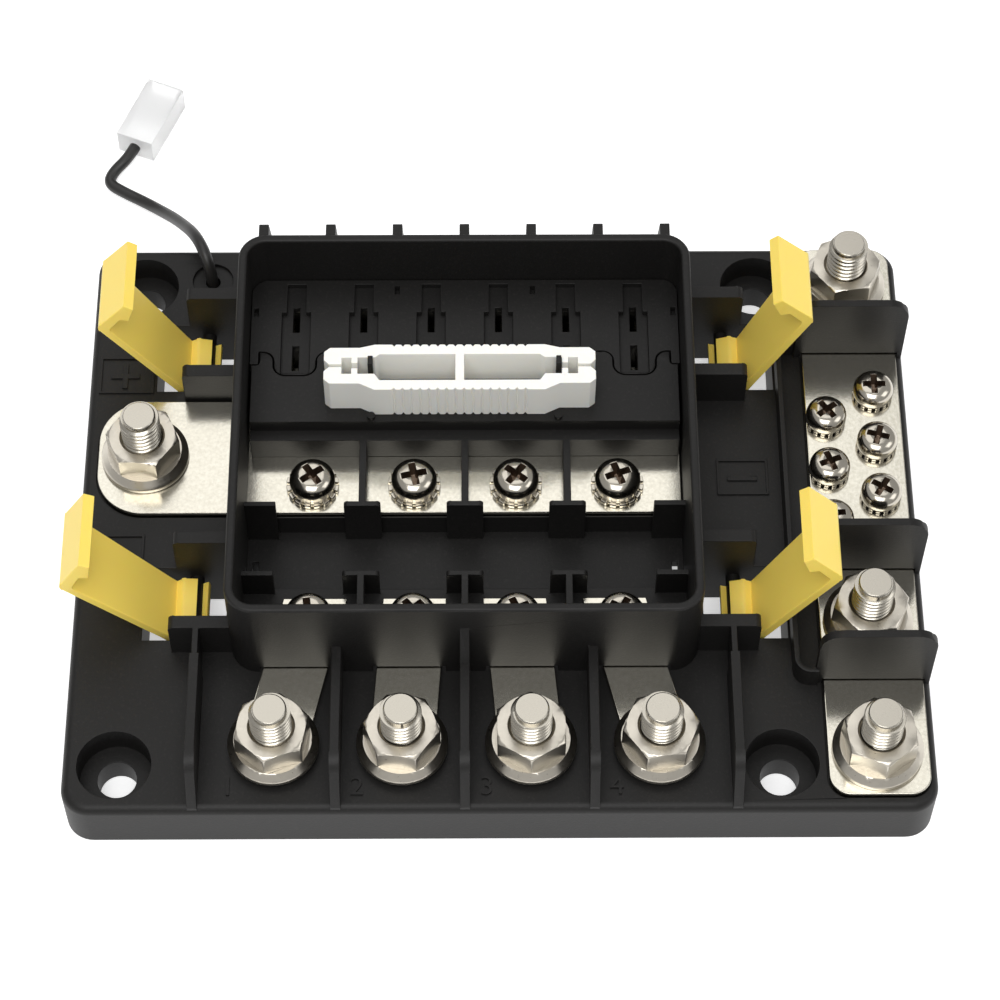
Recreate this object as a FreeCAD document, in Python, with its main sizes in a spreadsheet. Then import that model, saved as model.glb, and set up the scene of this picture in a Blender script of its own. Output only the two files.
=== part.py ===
import FreeCAD, Part
import math
import os

import Sketcher
from FreeCAD import Vector

# Blade fuse block. Millimetres. X to the right, Y to the rear, Z up.
# The origin is the middle of the base's underside, where the block rests on its panel.

DOC = FreeCAD.newDocument("fuse_block")
SHEET = DOC.addObject("Spreadsheet::Sheet", "sizes")

# Driving sizes, one cell each: alias, value.
SIZES = [
    # base moulding
    ("base_width", 168.0), ("base_depth", 131.3), ("deck_height", 12.8), ("deck_thickness", 2.6),
    ("skirt_thickness", 2.4), ("base_corner_radius", 5.5), ("deck_edge_radius", 1.8),
    ("under_rib_thickness", 2.0),
    # mounting holes
    ("mount_spacing_x", 128.2), ("mount_spacing_y", 111.5), ("mount_centre_x", -9.9),
    ("mount_hole_radius", 3.8), ("counterbore_radius", 7.15), ("counterbore_floor", 6.3),
    ("mount_boss_wall", 2.2),
    # fuse compartment
    ("box_centre_x", -6.65), ("box_width", 91.3), ("box_front", -35.7), ("box_rear", 51.9),
    ("rim_height", 37.0), ("box_wall", 1.8), ("box_corner_radius", 5.5), ("rim_edge_radius", 0.6),
    ("well_floor", 7.0), ("well_front", -17.2), ("well_rear", -0.8), ("well_shell", 2.4),
    # fuse bays inside the compartment
    ("bay_pitch", 20.45), ("bay_wall", 1.4), ("bay_wall_height", 20.2),
    ("stop_width", 7.3), ("stop_thickness", 1.1), ("stop_reach", 37.65), ("stop_corner", 0.9),
    ("vent_x", 42.2), ("vent_y", -8.9), ("vent_width", 1.2), ("vent_length", 2.4),
    # conductor plates
    ("plate_top", 14.0), ("plate_thickness", 2.0), ("plate_clearance", 0.25),
    ("positive_left", -81.0), ("positive_front", -0.3), ("positive_width", 26.7),
    ("positive_tail", 8.0), ("positive_radius", 9.5), ("negative_left", 63.0),
    ("negative_width", 19.5), ("negative_front", -63.1), ("negative_rear", 64.2),
    ("negative_radius", 4.0),
    ("tab_thickness", 1.6), ("tab_width", 12.6), ("tab_rear", -20.3), ("tab_nose", 5.6),
    ("slot_margin", 0.8),
    # threaded studs and flange nuts
    ("stud_radius", 4.0), ("stud_top", 29.5), ("stud_chamfer", 0.75), ("stud_clearance", 0.25),
    ("stud_pitch_radius", 3.6), ("stud_runout", 0.3),
    ("head_across_flats", 13.0), ("head_thickness", 5.3), ("head_clearance", 0.15),
    ("stud_boss_wall", 2.0),
    ("nut_height", 8.0), ("nut_flange_radius", 8.8), ("nut_flange_edge", 1.1),
    ("nut_flange_slope", 1.4), ("nut_across_flats", 13.0), ("nut_thread_gap", 0.02),
    ("nut_countersink", 0.5), ("nut_bevel", 1.2), ("nut_turn_1", 19.5), ("nut_turn_2", 52.5),
    ("nut_turn_3", 30.5), ("nut_turn_4", 7.5), ("nut_turn_5", 53.5), ("nut_turn_6", 9.5),
    ("nut_turn_7", 8.0), ("nut_turn_8", 37.0),
    ("output_pitch", 24.7), ("output_stud_y", -52.4),
    ("positive_stud_x", -71.4), ("positive_stud_y", 13.1), ("negative_stud_x", 72.5),
    ("negative_stud_rear", 54.7), ("negative_stud_middle", -25.5), ("negative_stud_front", -53.7),
    # clamp screws
    ("screw_radius", 2.5), ("screw_head_radius", 4.6), ("screw_head_height", 3.8),
    ("screw_head_edge", 1.4), ("screw_dome", 2.3), ("screw_length", 6.8),
    ("screw_clearance", 0.3), ("recess_arm", 1.15), ("recess_reach", 2.3), ("recess_depth", 1.5),
    ("washer_radius", 5.3), ("washer_thickness", 1.2), ("washer_teeth", 16),
    ("washer_tooth", 0.7), ("small_screw_radius", 2.0), ("small_head_radius", 4.1),
    ("small_head_height", 3.2), ("small_head_edge", 1.1), ("small_head_dome", 2.0),
    ("small_screw_length", 6.2), ("strip_screw_length", 5.0), ("small_washer_radius", 4.1),
    ("small_washer_thickness", 0.8),
    ("bus_row_y", 5.8), ("tab_row_y", -25.35), ("negative_screw_x", 5.0),
    ("negative_screw_first", 27.7), ("negative_screw_pitch", 6.15),
    ("insert_wall", 1.4), ("insert_depth", 4.4),
    # ribs between the output studs
    ("rib_thickness", 1.9), ("rib_height", 23.0), ("rib_nose", -60.5), ("rib_foot", -65.2),
    ("rib_nose_radius", 4.0), ("rib_shoulder", 5.6), ("rib_web", 1.2),
    ("outer_rib_offset", 52.0), ("middle_rib_rise", 7.0), ("middle_rib_run", 4.0),
    # dividers between the blade circuit outputs
    ("divider_pitch", 13.6), ("divider_thickness", 2.0), ("divider_top_reach", 2.9),
    ("divider_slope_y", 9.2), ("divider_slope_z", 20.5), ("divider_foot", 13.0),
    # negative bus tray and its dividers
    ("tray_wall", 1.0), ("tray_wall_x", 57.2), ("tray_height", 18.4), ("tray_front", -39.1),
    ("tray_radius", 3.2), ("shield_left", 61.3), ("shield_right", 83.8), ("shield_height", 31.3),
    ("shield_thickness", 1.6), ("shield_radius", 4.5), ("shield_rear", 37.65),
    ("shield_middle", -13.85), ("shield_front", -38.55),
    # latch ears, windows and pins
    ("ear_thickness", 2.8), ("ear_height", 22.7), ("ear_reach", 11.8), ("ear_gap", 16.2),
    ("ear_corner", 1.2),
    ("front_latch_y", -20.45), ("rear_latch_y", 37.8), ("window_near", 1.4),
    ("window_far", 17.8), ("latch_pin_reach", 7.9), ("latch_pin_height", 8.4),
    ("latch_pin_radius", 1.45),
    # latches
    ("latch_clearance", 0.06), ("front_left_lean", 38.0), ("rear_left_lean", 29.0),
    ("front_right_lean", 26.5), ("rear_right_lean", 22.0), ("rear_left_slide", 0.9),
    ("front_right_slide", 0.9), ("rear_right_slide", 0.9), ("latch_thickness", 1.8),
    ("latch_setback", 1.65), ("latch_length", 32.6), ("latch_width", 13.3),
    ("latch_flare", 16.0), ("latch_flare_start", 6.0), ("hook_rise", 3.6), ("hook_reach", 8.25),
    ("hook_under", 1.8), ("hook_thickness", 2.0), ("hook_lip", 0.7), ("hook_lip_reach", 3.6),
    ("hook_step", 2.1), ("hook_tip", 0.8), ("latch_bend_radius", 2.0), ("latch_root_radius", 0.8),
    ("latch_foot", 1.5), ("clip_wall", 1.25), ("clip_hump_height", 4.0), ("clip_hump_reach", 2.9),
    ("clip_hump_radius", 1.6), ("mouth_reach", 4.5), ("mouth_low", 0.6), ("mouth_high", 3.1),
    ("mouth_near", 3.2),
    # blade fuse bank and bus cover
    ("bank_top", 23.5), ("bank_fit", 0.15), ("seat_pitch", 13.8), ("seat_width", 5.8),
    ("seat_rear_width", 3.9), ("seat_front", 27.0), ("seat_step", 41.9), ("seat_rear", 48.9),
    ("seat_depth", 1.4), ("slot_width", 1.3), ("slot_length", 6.0), ("bus_slot_y", 31.5),
    ("output_slot_y", 40.9), ("bank_skin", 3.2), ("seam_low", 26.6), ("seam_high", 32.3),
    ("seam_end", 29.2), ("seam_end_width", 1.9), ("tongue_width", 8.4), ("tongue_radius", 2.4),
    ("seam_corner", 0.3),
    ("seam_gap", 0.3), ("cover_front", 15.3), ("ledge_height", 20.2), ("ledge_front", 12.9),
    ("cover_skin", 1.8), ("cover_gap", 0.6), ("cavity_width", 6.6),
    ("cavity_front", 28.2), ("cavity_rear", 48.6), ("cavity_split", 2.4), ("pin_slot_width", 0.9),
    ("pin_slot_length", 1.9), ("pin_slot_depth", 1.5), ("pin_outer_x", 42.7), ("pin_outer_y", 42.0),
    ("pin_inner_x", 13.9), ("pin_inner_y", 47.4),
    # blade clips and output terminals
    ("clip_thickness", 0.6), ("clip_height", 6.0), ("clip_width", 5.2), ("clip_spread", 3.4),
    ("clip_throat", 0.7), ("terminal_thickness", 1.0), ("terminal_width", 8.6),
    ("terminal_front", 36.6), ("terminal_rear", 63.2), ("terminal_screw_y", 58.6),
    # fuse puller and its posts
    ("puller_centre_x", -7.6), ("puller_length", 54.3), ("puller_height", 9.2),
    ("puller_front", 18.4), ("puller_rear", 27.0), ("puller_bar", 2.4), ("puller_bulge", 1.5),
    ("puller_bulge_half", 17.0), ("puller_bridge", 1.8), ("puller_slit", 0.6),
    ("grip_count", 16), ("grip_pitch", 1.75), ("grip_depth", 0.45),
    ("jaw_length", 3.6), ("jaw_groove", 1.9), ("jaw_step", 1.3), ("jaw_reach", 1.3),
    ("post_offset", 18.8), ("post_thickness", 1.0), ("post_height", 10.2), ("post_depth", 2.0),
    ("post_y", 23.4), ("gusset", 2.1), ("nub_radius", 0.8), ("nub_height", 1.0), ("nub_y", 16.2),
    # indicator lead and its connector
    ("lead_radius", 1.25), ("lead_hole_clearance", 0.3), ("lead_x", -59.7), ("lead_y", 57.5),
    ("lead_recess_radius", 4.2), ("lead_recess_depth", 0.8), ("lead_foot", 8.0),
    ("connector_x", -79.4), ("connector_y", 100.3), ("connector_lean", 22.5), ("lead_sink", 1.0),
    ("connector_length", 16.4),
    ("connector_width", 8.6), ("connector_height", 6.2), ("connector_wall", 1.0),
    ("connector_depth", 9.0),
]


class Size:
    """A length: its value now, and the expression that ties it to the sheet."""

    def __init__(self, value, text):
        self.value = value
        self.text = text

    def __add__(self, other):
        return joined(self, "+", other)

    def __radd__(self, other):
        return joined(other, "+", self)

    def __sub__(self, other):
        return joined(self, "-", other)

    def __rsub__(self, other):
        return joined(other, "-", self)

    def __mul__(self, other):
        return joined(self, "*", other)

    def __rmul__(self, other):
        return joined(other, "*", self)

    def __truediv__(self, other):
        return joined(self, "/", other)

    def __neg__(self):
        return joined(0.0, "-", self)


def sized(item):
    if isinstance(item, Size):
        return item
    return Size(float(item), f"({float(item):.6g})")


def joined(left, sign, right):
    a = sized(left)
    b = sized(right)
    if sign == "+":
        value = a.value + b.value
    elif sign == "-":
        value = a.value - b.value
    elif sign == "*":
        value = a.value * b.value
    else:
        value = a.value / b.value
    return Size(value, f"({a.text} {sign} {b.text})")


class Sheet:
    """Reads a driving size by its alias, as a Size."""

    def __getattr__(self, alias):
        return Size(dict(SIZES)[alias], f"sizes.{alias}")


S = Sheet()


def fill_sheet():
    for row, (alias, value) in enumerate(SIZES, start=1):
        SHEET.set(f"A{row}", alias)
        SHEET.set(f"B{row}", str(value))
        SHEET.setAlias(f"B{row}", alias)
    DOC.recompute()


def tie(item, name, length):
    """Binds a property of an object to the sheet."""
    item.setExpression(name, sized(length).text)


def place(item, x=0.0, y=0.0, z=0.0):
    tie(item, "Placement.Base.x", x)
    tie(item, "Placement.Base.y", y)
    tie(item, "Placement.Base.z", z)


# Sketches: each corner and radius is tied to the sheet.

def new_body(label):
    body = DOC.addObject("PartDesign::Body", label)
    body.Label = label
    return body


def new_sketch(body, name, role="XY_Plane", offset=0.0):
    plane = next(item for item in body.Origin.OriginFeatures if item.Role == role)
    sketch = body.newObject("Sketcher::SketchObject", name)
    sketch.AttachmentSupport = [(plane, "")]
    sketch.MapMode = "FlatFace"
    tie(sketch, "AttachmentOffset.Base.z", offset)
    return sketch


def pin_point(sketch, piece, point, x, y):
    """Fixes a point of the sketch at x, y."""
    for kind, length in (("DistanceX", sized(x)), ("DistanceY", sized(y))):
        index = sketch.addConstraint(Sketcher.Constraint(kind, piece, point, length.value))
        sketch.setExpression(f"Constraints[{index}]", length.text)


def fix_radius(sketch, piece, radius):
    index = sketch.addConstraint(Sketcher.Constraint("Radius", piece, sized(radius).value))
    sketch.setExpression(f"Constraints[{index}]", sized(radius).text)


def circle(sketch, x, y, radius):
    centre = Vector(sized(x).value, sized(y).value, 0)
    piece = sketch.addGeometry(Part.Circle(centre, Vector(0, 0, 1), sized(radius).value))
    pin_point(sketch, piece, 3, x, y)
    fix_radius(sketch, piece, radius)


def corner_arc(spot, before, after, radius):
    """The arc that rounds a corner, and whether it runs against the outline's way."""
    turn = before.getAngle(after)
    start = spot - before * (radius * math.tan(turn / 2))
    end = spot + after * (radius * math.tan(turn / 2))
    left_turn = before.cross(after).z > 0
    side = Vector(-before.y, before.x, 0) if left_turn else Vector(before.y, -before.x, 0)
    centre = start + side * radius
    first, last = (start, end) if left_turn else (end, start)
    angle = math.atan2(first.y - centre.y, first.x - centre.x)
    sweep = math.atan2(last.y - centre.y, last.x - centre.x) - angle
    round_part = Part.Circle(centre, Vector(0, 0, 1), radius)
    return Part.ArcOfCircle(round_part, angle, angle + sweep % (2 * math.pi)), not left_turn


def outline(sketch, corners):
    """A closed outline through corners (x, y) or (x, y, radius), each tied to the sheet."""
    count = len(corners)
    spots = [Vector(sized(c[0]).value, sized(c[1]).value, 0) for c in corners]
    radii = [sized(c[2]).value if len(c) > 2 else 0.0 for c in corners]
    ways = [(spots[(i + 1) % count] - spots[i]).normalize() for i in range(count)]
    trims = [radii[i] * math.tan(ways[i - 1].getAngle(ways[i]) / 2) for i in range(count)]
    lines = []
    for i in range(count):
        j = (i + 1) % count
        start = spots[i] + ways[i] * trims[i]
        end = spots[j] - ways[i] * trims[j]
        lines.append(sketch.addGeometry(Part.LineSegment(start, end)))
    for i, corner in enumerate(corners):
        before = lines[i - 1]
        after = lines[i]
        if radii[i] == 0.0:
            sketch.addConstraint(Sketcher.Constraint("Coincident", before, 2, after, 1))
            pin_point(sketch, after, 1, corner[0], corner[1])
            continue
        shape, backwards = corner_arc(spots[i], ways[i - 1], ways[i], radii[i])
        arc = sketch.addGeometry(shape)
        near, far = (2, 1) if backwards else (1, 2)
        point = sketch.addGeometry(Part.Point(spots[i]), True)
        sketch.addConstraint([
            Sketcher.Constraint("Tangent", before, 2, arc, near),
            Sketcher.Constraint("Tangent", arc, far, after, 1),
            Sketcher.Constraint("PointOnObject", point, 1, before),
            Sketcher.Constraint("PointOnObject", point, 1, after),
        ])
        pin_point(sketch, point, 1, corner[0], corner[1])
        fix_radius(sketch, arc, corner[2])


def rectangle(sketch, left, right, front, rear, radius=None):
    corners = [(left, front), (right, front), (right, rear), (left, rear)]
    if radius is not None:
        corners = [(x, y, radius) for x, y in corners]
    outline(sketch, corners)


# Features: a pad grows along its sketch's normal, a pocket cuts the other way.

def add_feature(body, kind, sketch, length, reverse, middle):
    made = body.newObject(f"PartDesign::{kind}", f"{sketch.Name}_{kind.lower()}")
    made.Profile = sketch
    tie(made, "Length", length)
    made.Reversed = reverse
    made.Refine = False
    made.SideType = "Symmetric" if middle else "One side"
    body.Tip = made
    return made


def pad(body, sketch, length, reverse=False, middle=False):
    return add_feature(body, "Pad", sketch, length, reverse, middle)


def pocket(body, sketch, length, reverse=False, middle=False):
    return add_feature(body, "Pocket", sketch, length, reverse, middle)


def slab(body, name, left, right, front, rear, low, high, radius=None):
    """Adds an upright block with square or rounded corners."""
    sketch = new_sketch(body, name, offset=low)
    rectangle(sketch, left, right, front, rear, radius)
    return pad(body, sketch, high - low)


def sink(body, name, left, right, front, rear, high, low, radius=None):
    """Cuts straight down from one height to a lower one."""
    sketch = new_sketch(body, name, offset=high)
    rectangle(sketch, left, right, front, rear, radius)
    return pocket(body, sketch, high - low)


def slabs(body, name, plans, low, high):
    """Adds several upright blocks, each (left, right, front, rear), with one feature."""
    sketch = new_sketch(body, name, offset=low)
    for plan in plans:
        rectangle(sketch, *plan)
    return pad(body, sketch, high - low)


def sinks(body, name, plans, high, low):
    """Cuts several square openings straight down with one feature."""
    sketch = new_sketch(body, name, offset=high)
    for plan in plans:
        rectangle(sketch, *plan)
    return pocket(body, sketch, high - low)


def drill(body, name, spots, radius, high, low):
    """Cuts round holes at the spots, from one height down to a lower one."""
    sketch = new_sketch(body, name, offset=high)
    for x, y in spots:
        circle(sketch, x, y, radius)
    return pocket(body, sketch, high - low)


def hexagon(sketch, x, y, flats):
    """A hexagon with this size across its flats, points to the left and right."""
    half = flats / 2
    point = flats * 0.57735
    outline(sketch, [
        (x + point, y), (x + point / 2, y + half), (x - point / 2, y + half),
        (x - point, y), (x - point / 2, y - half), (x + point / 2, y - half),
    ])


def turned(body, kind, sketch):
    """A full turn of the sketch about the body's Z axis: a Revolution or a Groove."""
    axis = next(item for item in body.Origin.OriginFeatures if item.Role == "Z_Axis")
    made = body.newObject(f"PartDesign::{kind}", f"{sketch.Name}_{kind.lower()}")
    made.Profile = sketch
    made.ReferenceAxis = (axis, [""])
    body.Tip = made
    return made


def soften(body, kind, size_name, radius, wanted):
    """A fillet or chamfer on the edges of the body that wanted picks."""
    DOC.recompute()
    base = body.Tip
    edges = [f"Edge{i}" for i, edge in enumerate(base.Shape.Edges, start=1) if wanted(edge)]
    made = body.newObject(f"PartDesign::{kind}", f"{base.Name}_{size_name}")
    made.Base = (base, edges)
    tie(made, "Radius" if kind == "Fillet" else "Size", radius)
    body.Tip = made
    return made


def row(body, originals, role, length, count, name):
    """The same features again, in a straight row."""
    axis = next(item for item in body.Origin.OriginFeatures if item.Role == role)
    made = body.newObject("PartDesign::LinearPattern", name)
    made.Originals = originals
    made.Direction = (axis, [""])
    made.Refine = False
    tie(made, "Length", length)
    tie(made, "Occurrences", count)
    body.Tip = made
    return made


def level(edge, height):
    """Whether an edge lies flat at this height."""
    box = edge.BoundBox
    return abs(box.ZMin - height) < 0.01 and abs(box.ZMax - height) < 0.01


fill_sheet()

# Places used by more than one piece, each still tied to the sheet.
BOX_LEFT = S.box_centre_x - S.box_width / 2
BOX_RIGHT = S.box_centre_x + S.box_width / 2
INNER_LEFT = BOX_LEFT + S.box_wall
INNER_RIGHT = BOX_RIGHT - S.box_wall
INNER_FRONT = S.box_front + S.box_wall
INNER_REAR = S.box_rear - S.box_wall
UNDER_DECK = S.deck_height - S.deck_thickness
SEAT = S.plate_top - S.plate_thickness
TAB_TOP = S.deck_height + S.tab_thickness
STRIP_TOP = S.deck_height + S.terminal_thickness
POSITIVE_REAR = S.positive_front + S.positive_width
NEGATIVE_RIGHT = S.negative_left + S.negative_width
RIB_BASE = S.deck_height - S.deck_edge_radius

BAY_X = [S.box_centre_x + S.bay_pitch * step for step in (-1.5, -0.5, 0.5, 1.5)]
BAY_WALL_X = [S.box_centre_x + S.bay_pitch * step for step in (-1.0, 0.0, 1.0)]
OUTPUT_X = [S.box_centre_x + 0.3 + S.output_pitch * step for step in (-1.5, -0.5, 0.5, 1.5)]
SEAT_X = [S.box_centre_x + S.seat_pitch * step for step in (-2.5, -1.5, -0.5, 0.5, 1.5, 2.5)]
LATCH_Y = [S.front_latch_y, S.rear_latch_y]
NEGATIVE_STUD_Y = [S.negative_stud_rear, S.negative_stud_middle, S.negative_stud_front]
STUDS = [(x, S.output_stud_y) for x in OUTPUT_X]
STUDS.append((S.positive_stud_x, S.positive_stud_y))
STUDS.extend((S.negative_stud_x, y) for y in NEGATIVE_STUD_Y)
BUS_ROW = [(x, S.bus_row_y) for x in BAY_X]
TAB_ROW = [(x, S.tab_row_y) for x in BAY_X]
NEGATIVE_SCREWS = [
    (S.negative_stud_x - 0.5 + S.negative_screw_x * (1 if step % 2 == 0 else -1),
     S.negative_screw_first - S.negative_screw_pitch * step)
    for step in range(6)
]
TERMINAL_SPOTS = [(x, S.terminal_screw_y) for x in SEAT_X]
MOUNTS = [
    (S.mount_centre_x + S.mount_spacing_x * side / 2, S.mount_spacing_y * end / 2)
    for side in (-1, 1) for end in (-1, 1)
]


def along_tab(step, y):
    """X of a tab's middle line at this Y: it runs straight from clamp screw to stud."""
    share = (S.tab_row_y - y) / (S.tab_row_y - S.output_stud_y)
    return BAY_X[step] + (OUTPUT_X[step] - BAY_X[step]) * share


# The housing's upper side: everything that is moulded on and above the base.

def base_slab(body):
    slab(body, "base", -S.base_width / 2, S.base_width / 2, -S.base_depth / 2,
         S.base_depth / 2, 0, S.deck_height, S.base_corner_radius)
    soften(body, "Fillet", "deck_edge", S.deck_edge_radius,
           lambda edge: level(edge, S.deck_height.value))


def box_walls(body):
    slab(body, "box", BOX_LEFT, BOX_RIGHT, S.box_front, S.box_rear,
         S.deck_height, S.rim_height, S.box_corner_radius)
    sink(body, "box_room", INNER_LEFT, INNER_RIGHT, INNER_FRONT, INNER_REAR,
         S.rim_height, S.deck_height, S.box_corner_radius - S.box_wall)
    soften(body, "Fillet", "rim_edge", S.rim_edge_radius,
           lambda edge: level(edge, S.rim_height.value))


def crossbars(body, name, rear, low):
    """A bar across the end of each bay wall, its upper corners rounded."""
    reach = S.stop_width / 2
    sketch = new_sketch(body, name, "XZ_Plane", -rear)
    for x in BAY_WALL_X:
        outline(sketch, [
            (x - reach, low), (x + reach, low), (x + reach, S.bay_wall_height, S.stop_corner),
            (x - reach, S.bay_wall_height, S.stop_corner),
        ])
    pad(body, sketch, S.stop_thickness)


def bay_stops(body):
    """Front crossbars of the fuse bays with their stems, and the half bars on the side walls."""
    front = S.well_front - S.stop_thickness
    half = S.bay_wall / 2
    stems = [(x - half, x + half, INNER_FRONT - 0.5, front + 0.3) for x in BAY_WALL_X]
    slabs(body, "front_stems", stems, S.deck_height, S.bay_wall_height)
    ends = [
        (INNER_LEFT - 0.5, S.box_centre_x - S.stop_reach),
        (S.box_centre_x + S.stop_reach, INNER_RIGHT + 0.5),
    ]
    crossbars(body, "front_bars", S.well_front, S.deck_height)
    half_bars = [(left, right, front, S.well_front) for left, right in ends]
    slabs(body, "front_half_bars", half_bars, S.deck_height, S.bay_wall_height)
    rear = S.well_rear - 0.5
    half_bars = [(left, right, rear - S.stop_thickness, rear) for left, right in ends]
    slabs(body, "rear_half_bars", half_bars, S.well_floor, S.bay_wall_height)


def latch_ears(body):
    """Upright ears on both sides of each latch."""
    half = S.ear_gap / 2
    overlap = S.box_wall / 2
    ends = (
        (BOX_LEFT + overlap, BOX_LEFT - S.ear_reach),
        (BOX_RIGHT - overlap, BOX_RIGHT + S.ear_reach),
    )
    for y in LATCH_Y:
        for rear in (y - half, y + half + S.ear_thickness):
            sketch = new_sketch(body, "ears", "XZ_Plane", -rear)
            for (inner, outer), way in zip(ends, (1, -1)):
                corners = [
                    (inner, S.deck_height), (outer, S.deck_height),
                    (outer, S.ear_height, S.ear_corner), (inner, S.ear_height),
                ]
                outline(sketch, corners[::way])
            pad(body, sketch, S.ear_thickness)


def latch_windows(body):
    """Windows through the base for the latches, and the pins that cross them."""
    half = S.ear_gap / 2
    ends = (
        (BOX_LEFT - S.window_far, BOX_LEFT - S.window_near),
        (BOX_RIGHT + S.window_near, BOX_RIGHT + S.window_far),
    )
    windows = [(left, right, y - half, y + half) for y in LATCH_Y for left, right in ends]
    sinks(body, "windows", windows, S.deck_height, 0)
    for y in LATCH_Y:
        sketch = new_sketch(body, "pins", "XZ_Plane", -(y + half))
        circle(sketch, BOX_LEFT - S.latch_pin_reach, S.latch_pin_height, S.latch_pin_radius)
        circle(sketch, BOX_RIGHT + S.latch_pin_reach, S.latch_pin_height, S.latch_pin_radius)
        pad(body, sketch, S.ear_gap)


def stud_ribs(body):
    """Upright ribs beside the output studs, sloping steeply at the nose."""
    ear_front = S.front_latch_y - S.ear_gap / 2 - S.ear_thickness
    shoulder = ear_front - S.rib_shoulder
    for offset, rear in ((S.outer_rib_offset, shoulder), (S.output_pitch, S.box_front + 0.5)):
        sketch = new_sketch(body, "rib", "YZ_Plane", S.box_centre_x - offset - S.rib_thickness / 2)
        outline(sketch, [
            (S.rib_foot, RIB_BASE), (rear, RIB_BASE), (rear, S.rib_height),
            (S.rib_nose, S.rib_height, S.rib_nose_radius), (S.rib_foot, S.deck_height + 0.3),
        ])
        made = pad(body, sketch, S.rib_thickness)
        row(body, [made], "X_Axis", offset * 2, 2, "rib_pair")
    half = S.rib_web / 2
    webs = [
        (x - half, x + half, shoulder - 0.5, ear_front + 0.5)
        for x in (S.box_centre_x - S.outer_rib_offset, S.box_centre_x + S.outer_rib_offset)
    ]
    slabs(body, "rib_webs", webs, S.deck_height, S.ear_height)
    sketch = new_sketch(body, "middle_rib", "YZ_Plane", S.box_centre_x - S.rib_thickness / 2)
    inside = S.box_front + 0.5
    outline(sketch, [
        (S.rib_foot, RIB_BASE), (inside, RIB_BASE), (inside, S.rib_height + S.middle_rib_rise),
        (S.box_front, S.rib_height + S.middle_rib_rise),
        (S.box_front - S.middle_rib_run, S.rib_height),
        (S.rib_nose, S.rib_height, S.rib_nose_radius), (S.rib_foot, S.deck_height + 0.3),
    ])
    pad(body, sketch, S.rib_thickness)


def rear_dividers(body):
    """Seven dividers between the blade circuit outputs, stepping down to the rear edge."""
    first = S.box_centre_x - S.divider_pitch * 3
    sketch = new_sketch(body, "divider", "YZ_Plane", first - S.divider_thickness / 2)
    inside = S.box_rear - 0.5
    outline(sketch, [
        (inside, RIB_BASE), (S.box_rear + S.divider_foot, RIB_BASE),
        (S.box_rear + S.divider_foot, S.deck_height + 0.3),
        (S.box_rear + S.divider_slope_y, S.divider_slope_z),
        (S.box_rear + S.divider_top_reach, S.rim_height - S.rim_edge_radius),
        (inside, S.rim_height - S.rim_edge_radius),
    ])
    made = pad(body, sketch, S.divider_thickness)
    row(body, [made], "X_Axis", S.divider_pitch * 6, 7, "divider_row")


def negative_side(body):
    """Tray wall and the three tall shields around the negative bus."""
    outer = S.tray_wall_x
    inner = S.tray_wall_x + S.tray_wall
    end = S.shield_left + 0.5
    tray_rear = S.shield_rear + S.shield_thickness
    sketch = new_sketch(body, "tray_wall", offset=S.deck_height)
    outline(sketch, [
        (outer, S.tray_front, S.tray_radius), (end, S.tray_front),
        (end, S.tray_front + S.tray_wall),
        (inner, S.tray_front + S.tray_wall, S.tray_radius - S.tray_wall),
        (inner, tray_rear - S.tray_wall), (end, tray_rear - S.tray_wall),
        (end, tray_rear), (outer, tray_rear),
    ])
    pad(body, sketch, S.tray_height - S.deck_height)
    for front in (S.shield_rear, S.shield_middle, S.shield_front):
        sketch = new_sketch(body, "shield", "XZ_Plane", -(front + S.shield_thickness))
        outline(sketch, [
            (S.shield_left, RIB_BASE), (S.shield_right, RIB_BASE),
            (S.shield_right, S.shield_height, S.shield_radius),
            (S.shield_left, S.shield_height, S.shield_radius),
        ])
        pad(body, sketch, S.shield_thickness)


def positive_outline(sketch):
    """The room for the positive plate: wide outside the box, and with its tail inside."""
    gap = S.plate_clearance
    tail = POSITIVE_REAR + S.positive_tail + gap
    outline(sketch, [
        (S.positive_left - gap, S.positive_front - gap, S.positive_radius + gap),
        (INNER_RIGHT, S.positive_front - gap), (INNER_RIGHT, tail), (INNER_LEFT, tail),
        (INNER_LEFT, POSITIVE_REAR + gap),
        (S.positive_left - gap, POSITIVE_REAR + gap, S.positive_radius + gap),
    ])


def seats_in_deck(body):
    """The well between the fuse screws, and the recesses that the two plates lie in."""
    sink(body, "well", INNER_LEFT, INNER_RIGHT, S.well_front, S.well_rear,
         S.deck_height, S.well_floor)
    sketch = new_sketch(body, "positive_recess", offset=S.deck_height)
    positive_outline(sketch)
    pocket(body, sketch, S.deck_height - SEAT)
    gap = S.plate_clearance
    sink(body, "negative_recess", S.negative_left - gap, NEGATIVE_RIGHT + gap,
         S.negative_front - gap, S.negative_rear + gap, S.deck_height, SEAT,
         S.negative_radius + gap)


def conductor_slots(body):
    """Slots where the plates, tabs and strips pass through the walls and shields."""
    gap = S.plate_clearance
    high = S.plate_top + gap
    sketch = new_sketch(body, "positive_slot", offset=high)
    positive_outline(sketch)
    pocket(body, sketch, high - SEAT)
    sink(body, "negative_slot", S.negative_left - gap, NEGATIVE_RIGHT + gap,
         S.negative_front - gap, S.negative_rear + gap, high, SEAT, S.negative_radius + gap)
    half = S.tab_width / 2 + S.slot_margin
    middles = [along_tab(step, S.box_front + S.box_wall / 2) for step in range(4)]
    slots = [(x - half, x + half, S.box_front - 0.5, INNER_FRONT + 0.5) for x in middles]
    sinks(body, "tab_slots", slots, TAB_TOP + gap, S.deck_height)
    half = S.terminal_width / 2 + gap
    slots = [(x - half, x + half, INNER_REAR - 0.5, S.box_rear + 0.5) for x in SEAT_X]
    sinks(body, "strip_slots", slots, STRIP_TOP + gap, S.deck_height)


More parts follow.
